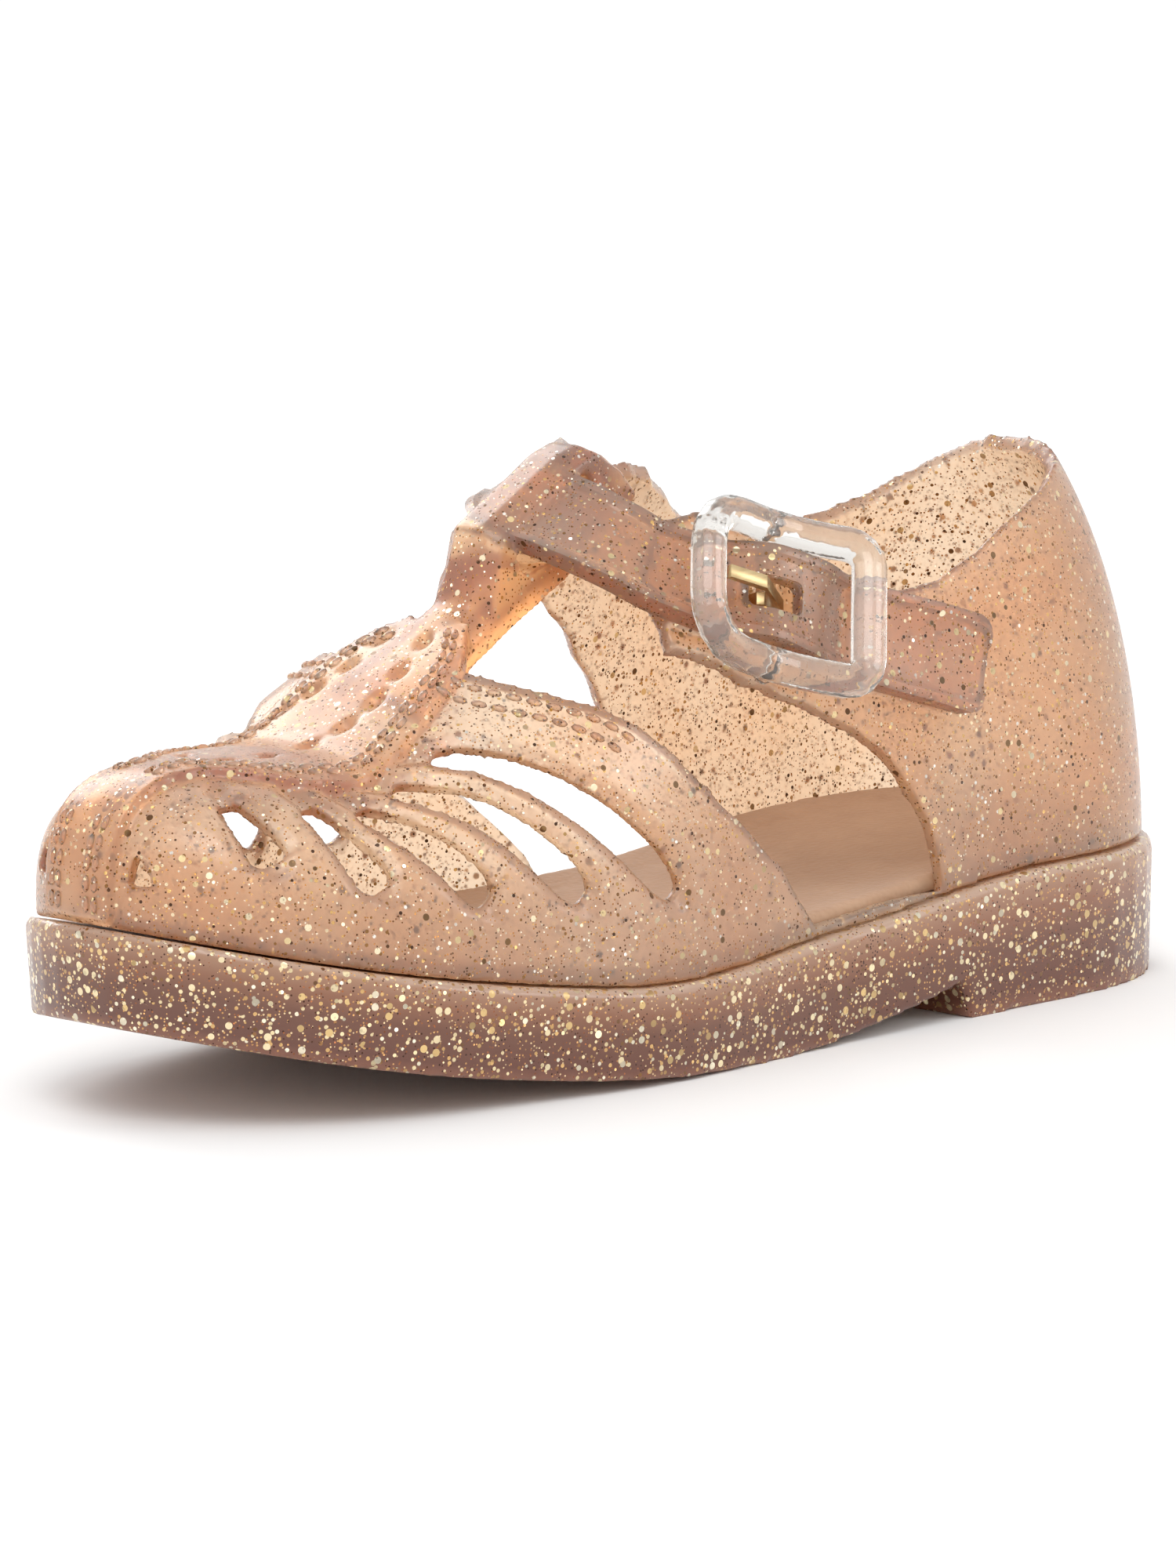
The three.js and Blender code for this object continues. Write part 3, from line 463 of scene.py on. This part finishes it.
def moulded_foam():
    """Closed-cell EVA foam, cut from sheet: dull, with a fine pebbled grain and a slightly uneven tan."""
    material = bpy.data.materials.new("cut EVA foam, tan")
    material.use_nodes = True
    tree = material.node_tree
    shader = tree.nodes["Principled BSDF"]
    place = add_node(tree, "ShaderNodeTexCoord").outputs["Object"]
    grain = add_node(tree, "ShaderNodeTexVoronoi", {"Vector": place, "Scale": 1 / 0.0007},
                     feature="SMOOTH_F1")
    clouds = add_node(tree, "ShaderNodeTexNoise",
                      {"Vector": place, "Scale": 1 / 0.006, "Detail": 6.0, "Roughness": 0.7})
    tan = add_node(tree, "ShaderNodeMix",
                   {"Factor": clouds.outputs["Fac"], 6: linear("#A98468"), 7: linear("#C4A184")},
                   data_type="RGBA")
    bump = add_node(tree, "ShaderNodeBump",
                    {"Height": grain.outputs["Distance"], "Strength": 0.5, "Distance": 0.0002})
    tree.links.new(tan.outputs[2], shader.inputs["Base Color"])
    tree.links.new(bump.outputs[0], shader.inputs["Normal"])
    shader.inputs["Roughness"].default_value = 0.85
    shader.inputs["Sheen Weight"].default_value = 0.2
    return material


def clear_acrylic():
    """Clear acrylic, injection moulded: colourless glass-like bars with faint flow lines inside."""
    material = bpy.data.materials.new("moulded clear acrylic")
    material.use_nodes = True
    tree = material.node_tree
    shader = tree.nodes["Principled BSDF"]
    place = add_node(tree, "ShaderNodeTexCoord").outputs["Object"]
    flow = add_node(tree, "ShaderNodeTexNoise", {"Vector": place, "Scale": 1 / 0.004, "Detail": 3.0})
    bump = add_node(tree, "ShaderNodeBump",
                    {"Height": flow.outputs["Fac"], "Strength": 0.25, "Distance": 0.0003})
    tree.links.new(bump.outputs[0], shader.inputs["Normal"])
    shader.inputs["Base Color"].default_value = linear("#F6F3EE")
    shader.inputs["Roughness"].default_value = 0.07
    shader.inputs["IOR"].default_value = 1.49
    shader.inputs["Transmission Weight"].default_value = 0.92
    return material


def pressed_brass():
    """Yellow brass strip, pressed and tumbled: a warm satin metal with fine scratches along it."""
    material = bpy.data.materials.new("pressed yellow brass")
    material.use_nodes = True
    tree = material.node_tree
    shader = tree.nodes["Principled BSDF"]
    place = add_node(tree, "ShaderNodeTexCoord").outputs["Object"]
    stretched = add_node(tree, "ShaderNodeMapping", {"Vector": place, "Scale": (300.0, 2500.0, 2500.0)})
    lines = add_node(tree, "ShaderNodeTexNoise",
                     {"Vector": stretched.outputs[0], "Scale": 1.0, "Detail": 3.0})
    tone = add_node(tree, "ShaderNodeMix",
                    {"Factor": lines.outputs["Fac"], 6: linear("#A88A5C"), 7: linear("#E3CDA0")},
                    data_type="RGBA")
    rough = add_node(tree, "ShaderNodeMapRange", {0: lines.outputs["Fac"], 3: 0.24, 4: 0.42})
    tree.links.new(tone.outputs[2], shader.inputs["Base Color"])
    tree.links.new(rough.outputs[0], shader.inputs["Roughness"])
    shader.inputs["Metallic"].default_value = 1.0
    return material


foam, acrylic, brass = moulded_foam(), clear_acrylic(), pressed_brass()


# Pieces that stand for the CAD nodes

def make_outsole():
    piece = copy_of_node("outsole", "outsole_jelly")
    remesh(piece, 0.6)
    soften(piece, 8)
    points = points_of(piece)
    # Share of the sole's height, from which its colour and the painted highlight along its top rim are drawn
    share = np.clip((points[:, 2] - sole_lift(points[:, 0])) / sole_thickness(points[:, 0]), 0, 1)
    height = piece.data.attributes.new("height", "FLOAT", "POINT")
    height.data.foreach_set("value", share.astype(np.float32))
    stand_for(piece, "outsole", sole_jelly)


def make_footbed():
    piece = copy_of_node("footbed", "footbed_foam")
    remesh(piece, 0.6)
    soften(piece, 4)
    stand_for(piece, "footbed", foam)


def nearest_on_line(points, line):
    """Distance of each point from a line of points, and the place of the nearest spot, 0 to 1."""
    best = np.full(len(points), 1e9)
    at = np.zeros(len(points))
    for i in range(len(line) - 1):
        a, run = line[i], line[i + 1] - line[i]
        u = np.clip(((points - a) @ run) / max(run @ run, 1e-12), 0, 1)
        far = np.linalg.norm(points - a - u[:, None] * run, axis=1)
        closer = far < best
        best = np.where(closer, far, best)
        at = np.where(closer, (i + u) / (len(line) - 1), at)
    return best, at


def slot_line(row, side, start):
    """Middle line of a slot, from its extension at start (below 0) to its lower end."""
    u = np.linspace(start, 1, 22)
    weights = np.stack([(1 - u) * (1 - 2 * u), 4 * u * (1 - u), u * (2 * u - 1)], -1)
    place = weights @ np.array(row)
    return last_point(place[:, 0], side * place[:, 1])


def crown_apron(points):
    """Lifts the middle of the apron, at each x, to a low arch between its two sides, wall and all."""
    along, across = np.meshgrid(np.arange(0.02, 0.6, 0.006), np.arange(-0.8, 0.81, 0.025), indexing="ij")
    corners = last_point(along, across, APRON_STEP)
    rows, columns = along.shape
    flat = [Vector(c) for c in corners.reshape(-1, 3)]
    faces = [(i * columns + j, (i + 1) * columns + j, (i + 1) * columns + j + 1, i * columns + j + 1)
             for i in range(rows - 1) for j in range(columns - 1)]
    tree = BVHTree.FromPolygons(flat, faces)
    pace = 0.75
    xs = np.arange(-72, -17.5, pace)
    spread = np.linspace(-1, 1, 35)
    lift = np.zeros((len(xs), len(spread)))
    middle = BALL_WIDTH * crest_offset(np.clip(xs / SOLE_LENGTH + 0.5, 0, 1))
    for i, x in enumerate(xs):
        hits = [tree.ray_cast((x, middle[i] + t * APRON_SPAN, 90), (0, 0, -1))[0] for t in spread]
        if any(hit is None for hit in hits):
            continue
        top = np.array([hit.z for hit in hits])
        arch = top[0] + (top[-1] - top[0]) * (spread + 1) / 2 + APRON_CROWN * (1 - spread ** 2)
        lift[i] = np.maximum(arch - top, 0) * np.clip((x + 71) / 7, 0, 1) * np.clip((-20 - x) / 7, 0, 1)
    at = np.clip((points[:, 0] - xs[0]) / pace, 0, len(xs) - 1.001)
    t = (points[:, 1] - np.interp(points[:, 0], xs, middle)) / APRON_SPAN
    over = np.clip((t + 1) / 2 * (len(spread) - 1), 0, len(spread) - 1.001)
    i, j = at.astype(int), over.astype(int)
    u, v = at - i, over - j
    rise = ((1 - u) * ((1 - v) * lift[i, j] + v * lift[i, j + 1])
            + u * ((1 - v) * lift[i + 1, j] + v * lift[i + 1, j + 1]))
    points[:, 2] += np.where((np.abs(t) < 1) & (points[:, 2] > 26), rise, 0)
    return points


# Oval dimples in the apron, in pixels of the photograph: the row nearer the eye and the further one
NEAR_DIMPLES = [(287, 970), (341, 963), (395, 949), (440, 925), (478, 894), (510, 856), (541, 817)]
FAR_DIMPLES = [(236, 962), (276, 950), (314, 932), (352, 910), (400, 879), (446, 847), (490, 812)]


def dimple_depth(piece, points, facing_out, rows):
    """How deep each point lies in the apron's oval dimples, 2.8 mm long and 1.3 mm wide."""
    depth = np.zeros(len(points))
    skin = skin_of(piece)
    for row in rows:
        spots = [seen_at(skin, *pixel) for pixel in row]
        for i, (spot, facing) in enumerate(spots):
            before, after = spots[max(i - 1, 0)][0], spots[min(i + 1, len(spots) - 1)][0]
            ahead = (after - before) / np.linalg.norm(after - before)
            off = points - spot
            run = off @ ahead
            rest = np.sqrt(np.maximum((off ** 2).sum(1) - run ** 2, 0))
            depth = np.maximum(depth, np.exp(-((run / 1.4) ** 2 + (rest / 0.75) ** 2)))
    return depth * facing_out


def even_slots(piece, points, normal):
    """Puts the walls of the slots on smooth curves."""
    wall = np.abs((facings_of(piece) * normal).sum(1)) < 0.75
    width = curve(SLOT_SHAPE, 1)
    for side in (-1, 1):
        for row in SLOTS:
            line = slot_line(row, side, 0.0)
            far, at = nearest_on_line(points, line)
            steps = np.arange(len(line))
            spot = np.stack([np.interp(at * (len(line) - 1), steps, line[:, k]) for k in range(3)], -1)
            away = points - spot
            away -= (away * normal).sum(1)[:, None] * normal
            reach = np.linalg.norm(away, axis=1)
            want = SLOT_WIDTH / 2 * width(at)
            near = wall & (far < 5) & (np.abs(reach - want) < 0.7) & (at > 0.01) & (at < 0.985)
            shift = np.where(near, want - reach, 0)
            points = points + (shift / np.maximum(reach, 1e-6))[:, None] * away
    return points


def slot_dents(points):
    """How deep each point lies in the soft rims of the slots, and in the grooves from them to the apron."""
    width = curve(SLOT_SHAPE, 1)
    dent = np.zeros(len(points))
    for side in (-1, 1):
        for row in SLOTS:
            far, at = nearest_on_line(points, slot_line(row, side, -GROOVE_LENGTH))
            place = at * (1 + GROOVE_LENGTH) - GROOVE_LENGTH
            from_edge = far - SLOT_WIDTH / 2 * width(np.clip(place, 0, 1))
            rim = RIM_DEPTH * np.exp(-(np.maximum(from_edge, 0) / 1.1) ** 2)
            groove = GROOVE_DEPTH * np.exp(-(far / 1.35) ** 2) * np.clip((place + GROOVE_LENGTH) / 0.2, 0, 1)
            dent = np.maximum(dent, np.where(place > 0, rim, groove))
    return dent


def make_upper():
    """The one moulded upper, remeshed finely, its facets taken off and what the mould gives pressed in."""
    piece = copy_of_node("upper", "upper_jelly")
    remesh(piece, 0.47)
    soften(piece, 5)

    # Faces that lie along the last go onto its true surface, and the rest follow it
    points = points_of(piece)
    _, outside, normal, cut_off = places_on_last(points)
    facing = (facings_of(piece) * normal).sum(1)
    close = np.clip((3.6 - np.abs(outside + 0.4)) / 1.2, 0, 1)
    level = np.where(facing < 0, -WALL, np.where(outside > APRON_STEP / 2, APRON_STEP, 0.0))
    flat = np.clip((np.abs(facing) - 0.82) / 0.12, 0, 1)
    flat *= np.clip((0.5 - np.abs(outside - level)) / 0.2, 0, 1)
    followed = cut_off * close[:, None]
    settled = normal * (level - outside)[:, None] + cut_off
    points = points + followed + flat[:, None] * (settled - followed)
    skin = np.clip((outside + 1.1) / 0.6, 0, 1) * np.clip((2.2 - outside) / 0.5, 0, 1)
    below_apron = skin * np.clip((1.0 - outside) / 0.4, 0, 1)
    points = even_slots(piece, points, normal)
    points -= (slot_dents(points) * below_apron)[:, None] * normal
    set_points(piece, points)

    # The apron is arched, and evened towards the neck
    _, outside, normal, _ = places_on_last(points)
    tilt = np.abs((facings_of(piece) * normal).sum(1))
    set_points(piece, crown_apron(points.copy()))
    on_top = np.clip((outside - 0.7) / 0.3, 0, 1) * np.clip((7 - outside) / 1.5, 0, 1)
    neck = np.clip((points[:, 0] + 62) / 6, 0, 1) * np.clip((-22 - points[:, 0]) / 4, 0, 1)
    ease(piece, on_top * neck * np.clip((tilt - 0.6) / 0.2, 0, 1), 120)
    soften(piece, 2)

    points = points_of(piece)
    _, outside, normal, _ = places_on_last(points)
    on_apron = np.clip((outside - 0.3) / 0.3, 0, 1)
    points -= dimple_depth(piece, points, on_apron, (NEAR_DIMPLES, FAR_DIMPLES))[:, None] * normal
    set_points(piece, points)
    soften(piece, 2)

    finish_with(piece, "TRIANGULATE")
    finish_with(piece, "DECIMATE", ratio=MOST_TRIANGLES / len(piece.data.polygons))
    for polygon in piece.data.polygons:
        polygon.use_smooth = True
    stand_for(piece, "upper", jelly)
    return piece


# The strap's centre line on the last: along, across and height over it, at equal steps
STRAP = [(0.56, 0.46, -0.6), (0.54, 0.36, 2.4), (0.517, 0.25, 4), (0.497, 0.13, 2.9), (0.467, 0, 4.2),
         (0.463, -0.13, 3.9), (0.47, -0.24, 2.9), (0.486, -0.345, 1.35), (0.508, -0.44, 1.5),
         (0.533, -0.51, 3.5), (0.553, -0.56, 3.1), (0.572, -0.603, 1.5), (0.6, -0.655, 1.35),
         (0.63, -0.7, 1.5), (0.662, -0.745, 1.5)]
STRAP_WIDTH = 11.8
STRAP_THICKNESS = 1.9
STRAP_RIM = 0.5
STRAP_CORNER = 2.2
# How far the drawn strap stands proud of the moulding, at its sides and its faces
PROUD_SIDE = 0.08
PROUD_FACE = 0.07
PRONG_HOLE = (7.1, 4.2, 16)
BUCKLE_STEP = 9.05
strap_across = curve([(i, row[1]) for i, row in enumerate(STRAP)], 1)
strap_height = curve([(i, row[2]) for i, row in enumerate(STRAP)], 1)


def strap_place(step):
    """Point of the strap's centre line and its place on the last."""
    rows = np.array([row[0] for row in STRAP])
    rows = np.concatenate([[2 * rows[0] - rows[1]], rows, [2 * rows[-1] - rows[-2]]])
    i = min(int(step), len(STRAP) - 2)
    u = step - i
    before, start, end, after = rows[i:i + 4]
    a, b = (end - before) / 2, (after - start) / 2
    along = (2 * start - 2 * end + a + b) * u ** 3
    along += (3 * end - 3 * start - 2 * a - b) * u ** 2 + a * u + start
    across = float(strap_across(step))
    normal = last_normal(along, across)
    return last_point(along, across) + float(strap_height(step)) * normal, normal, (along, across)


def buckle_axes():
    """The buckle's own axes on the outer quarter: along the strap, across it and outwards."""
    (_, outward, place), ahead, behind = (strap_place(BUCKLE_STEP + shift) for shift in (0, 1.5, -1.5))
    run = last_point(*ahead[2]) - last_point(*behind[2])
    sideways = np.cross(outward, run)
    sideways /= np.linalg.norm(sideways)
    forward = np.cross(sideways, outward)
    axes = Matrix((forward, sideways, outward)).transposed().to_4x4()
    axes.translation = Vector(last_point(*place)) * MM
    return axes


def make_strap():
    """The strap with its raised rims, drawn a hair proud of the one in the moulding under it, with a rounded
    tail and the hole that the prong comes out of."""
    steps = np.concatenate([np.linspace(1.2, 13, 84), [13.3, 13.55, 13.75, 13.88, 13.96, 14]])
    spots = [strap_place(step) for step in steps]
    centres = np.array([spot for spot, _, _ in spots])
    run = np.linalg.norm(centres - centres[-1], axis=1)
    points, faces = [], []
    for i, (centre, outward, _) in enumerate(spots):
        ahead = centres[min(i + 1, len(spots) - 1)] - centres[max(i - 1, 0)]
        ahead /= np.linalg.norm(ahead)
        sideways = np.cross(outward, ahead)
        sideways /= np.linalg.norm(sideways)
        up = np.cross(ahead, sideways)
        inside = max(STRAP_CORNER - run[i], 0)
        half = STRAP_WIDTH / 2 + PROUD_SIDE - (STRAP_CORNER - math.sqrt(STRAP_CORNER ** 2 - inside ** 2))
        face, crown = STRAP_THICKNESS / 2 + PROUD_FACE, STRAP_THICKNESS / 2 + STRAP_RIM + PROUD_FACE
        edge, foot = half - 1.1, half - 1.7
        for s, u in [(-half, -face), (half, -face), (half, crown), (edge, crown), (foot, face), (-foot, face),
                     (-edge, crown), (-half, crown)]:
            points.append(tuple((centre + s * sideways + u * up) * MM))
    last = len(spots) - 1
    for i in range(last):
        for k in range(8):
            j = (k + 1) % 8
            faces.append((8 * i + k, 8 * i + 8 + k, 8 * i + 8 + j, 8 * i + j))
    faces.append(tuple(range(8)))
    faces.append(tuple(8 * last + k for k in reversed(range(8))))
    mesh = bpy.data.meshes.new("strap_jelly")
    mesh.from_pydata(points, [], faces)
    piece = bpy.data.objects.new("strap_jelly", mesh)
    bpy.context.collection.objects.link(piece)
    activate(piece)
    bpy.ops.object.mode_set(mode="EDIT")
    bpy.ops.mesh.select_all(action="SELECT")
    bpy.ops.mesh.normals_make_consistent(inside=False)
    bpy.ops.object.mode_set(mode="OBJECT")
    deselect()
    bpy.ops.mesh.primitive_cube_add(size=1)
    punch = bpy.context.object
    punch.data.transform(buckle_axes() @ Matrix.Translation(Vector((-0.65, 0, 2)) * MM)
                         @ Matrix.Diagonal(Vector((*PRONG_HOLE, 1000)) * MM))
    finish_with(punch, "BEVEL", width=0.9 * MM, segments=4, limit_method="ANGLE")
    finish_with(piece, "BOOLEAN", operation="DIFFERENCE", object=punch, solver="EXACT")
    bpy.data.objects.remove(punch)
    finish_with(piece, "BEVEL", width=0.22 * MM, segments=2, limit_method="ANGLE",
                angle_limit=math.radians(35))
    activate(piece)
    bpy.ops.object.shade_smooth_by_angle(angle=math.radians(40))
    mesh.materials.append(jelly)
    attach(piece, "root")


def make_buckle_frame():
    piece = copy_of_node("buckle_frame", "buckle_hoop")
    remesh(piece, 0.26)
    soften(piece, 8)
    stand_for(piece, "buckle_frame", acrylic)


def make_buckle_prong():
    """The brass prong, half as wide as the CAD model has it, as the photograph shows it."""
    piece = copy_of_node("buckle_prong", "buckle_tongue")
    axes = buckle_axes()
    narrower = axes @ Matrix.Diagonal((1, 0.5, 1, 1)) @ axes.inverted()
    piece.data.transform(narrower)
    finish_with(piece, "BEVEL", width=0.18 * MM, segments=3, limit_method="ANGLE",
                angle_limit=math.radians(30))
    activate(piece)
    bpy.ops.object.shade_smooth_by_angle(angle=math.radians(40))
    stand_for(piece, "buckle_prong", brass)


make_outsole()
make_footbed()
upper = make_upper()
make_strap()
make_buckle_frame()
make_buckle_prong()


# Stitches moulded on the upper

upper_skin = skin_of(upper)


def lay_on(skin, start, direction, reach=0.03):
    """Where a straight line first meets the upper's surface, with the surface's direction there."""
    spot, facing, _, _ = skin.ray_cast(Vector(start) * MM, Vector(direction).normalized(), reach)
    return (None, None) if spot is None else (np.array(spot) / MM, np.array(facing))


def even_steps(line, pitch):
    """Places a pitch apart on a line of (point, facing) pairs, with the way it runs at each."""
    points = np.array([p for p, _ in line])
    facings = np.array([n for _, n in line])
    run = np.concatenate([[0], np.cumsum(np.linalg.norm(np.diff(points, axis=0), axis=1))])
    stops = np.arange(pitch / 2, run[-1], pitch)
    at = np.stack([np.interp(stops, run, points[:, k]) for k in range(3)], -1)
    up = np.stack([np.interp(stops, run, facings[:, k]) for k in range(3)], -1)
    ahead = np.stack([np.interp(stops + 0.5, run, points[:, k]) - np.interp(stops - 0.5, run, points[:, k])
                      for k in range(3)], -1)
    return list(zip(at, up, ahead))


def apron_line(side, inset):
    """Line on the apron that runs a given distance inside its edge, from the toe front to the neck."""
    line = []
    y = BALL_WIDTH * (float(apron_centre(0.0)) + side * (float(apron_half(0.0)) - inset / BALL_WIDTH))
    for z in np.arange(24.5, 36, 0.8):
        line.append(lay_on(upper_skin, (-90, y, z), (1, 0, 0)))
    for at in np.arange(0.065, 0.335, 0.006):
        x = SOLE_LENGTH * (at - 0.5)
        y = BALL_WIDTH * (float(apron_centre(at)) + side * (float(apron_half(at)) - inset / BALL_WIDTH))
        line.append(lay_on(upper_skin, (x, y, 70), (0, 0, -1), 0.05))
    return [(p, n) for p, n in line if p is not None]


def rim_line(skin, places):
    """Line on a skin through places on the last."""
    line = []
    for along, across in places:
        normal = last_normal(along, across)
        line.append(lay_on(skin, last_point(along, across) + 4 * normal, -normal, 0.006))
    return [(p, n) for p, n in line if p is not None]


# Stitches, in millimetres: pitch, half length, half width, half height and how far they stand up
STITCH_PITCH = 2.4
STITCH = (1.02, 0.5, 0.42)
STITCH_LIFT = 0.06
# Distances of the two rows from the apron's edge, and of the two from the vamp's rear edge, along the last
APRON_ROWS = (2.0, 3.3)
REAR_ROWS = (0.012, 0.024)


def make_stitches(lines):
    """Moulded stitches: small long beads, one mesh for all."""
    deselect()
    bpy.ops.mesh.primitive_uv_sphere_add(segments=8, ring_count=5, radius=1.0)
    bead = bpy.context.object
    bead_points = np.array([v.co[:] for v in bead.data.vertices])
    bead_faces = [tuple(p.vertices) for p in bead.data.polygons]
    bpy.data.objects.remove(bead)
    points, faces = [], []
    for line in lines:
        for at, up, ahead in even_steps(line, STITCH_PITCH):
            ahead = ahead / max(np.linalg.norm(ahead), 1e-9)
            side = np.cross(up, ahead)
            side /= max(np.linalg.norm(side), 1e-9)
            up = np.cross(ahead, side)
            base = len(points)
            for p in bead_points:
                long, wide, high = (size * share for size, share in zip(STITCH, p))
                points.append(at + long * ahead + wide * side + (high + STITCH_LIFT) * up)
            faces += [tuple(base + i for i in face) for face in bead_faces]
    mesh = bpy.data.meshes.new("moulded_stitches")
    mesh.from_pydata([tuple(np.array(p) * MM) for p in points], [], faces)
    piece = bpy.data.objects.new("moulded_stitches", mesh)
    bpy.context.collection.objects.link(piece)
    for polygon in mesh.polygons:
        polygon.use_smooth = True
    mesh.materials.append(jelly)
    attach(piece, "root")


lines = []
for side in (-1, 1):
    for inset in APRON_ROWS:
        lines.append(apron_line(side, inset))
    for back in REAR_ROWS:
        across = np.arange(0.2, 0.62, 0.01)
        lines.append(rim_line(upper_skin, [(float(vamp_rear(a)) - back, side * a) for a in across]))
make_stitches([line for line in lines if len(line) > 2])


# Camera, light and floor

def make_camera():
    data = bpy.data.cameras.new("camera")
    data.lens = SCALE * DISTANCE * data.sensor_width / PICTURE_HEIGHT
    camera = bpy.data.objects.new("camera", data)
    bpy.context.collection.objects.link(camera)
    place = Matrix((SIGHT_RIGHT, SIGHT_UP, SIGHT_BACK)).transposed().to_4x4()
    place.translation = EYE * MM
    camera.matrix_world = place
    bpy.context.scene.camera = camera


def make_light(name, place, target, size, power):
    data = bpy.data.lights.new(name, "AREA")
    data.energy = power
    data.shape = "DISK"
    data.size = size
    lamp = bpy.data.objects.new(name, data)
    bpy.context.collection.objects.link(lamp)
    lamp.location = place
    lamp.rotation_euler = (Vector(target) - Vector(place)).to_track_quat("-Z", "Y").to_euler()


def make_studio():
    deselect()
    bpy.ops.mesh.primitive_circle_add(vertices=96, radius=12, fill_type="NGON", location=(0, 0, 0))
    floor = bpy.context.object
    floor.name = "studio_floor"
    material = bpy.data.materials.new("matt white paper")
    material.use_nodes = True
    shader = material.node_tree.nodes["Principled BSDF"]
    shader.inputs["Base Color"].default_value = linear("#F4F4F4")
    shader.inputs["Roughness"].default_value = 0.9
    shader.inputs["Specular IOR Level"].default_value = 0.1
    floor.data.materials.append(material)
    world = bpy.data.worlds.new("studio")
    bpy.context.scene.world = world
    world.use_nodes = True
    sky = world.node_tree.nodes["Background"]
    sky.inputs["Color"].default_value = (1, 1, 1, 1)
    sky.inputs["Strength"].default_value = 1.0
    make_light("key", (-0.6, -0.5, 1.0), (0, 0, 0.03), 0.7, 4.0)
    make_light("side", (0.6, -0.8, 0.5), (0, 0, 0.03), 0.4, 1.5)
    make_light("back", (0.2, 0.8, 0.6), (0, 0, 0.04), 0.6, 3.0)
    bpy.context.scene.view_settings.view_transform = "Standard"


make_camera()
make_studio()
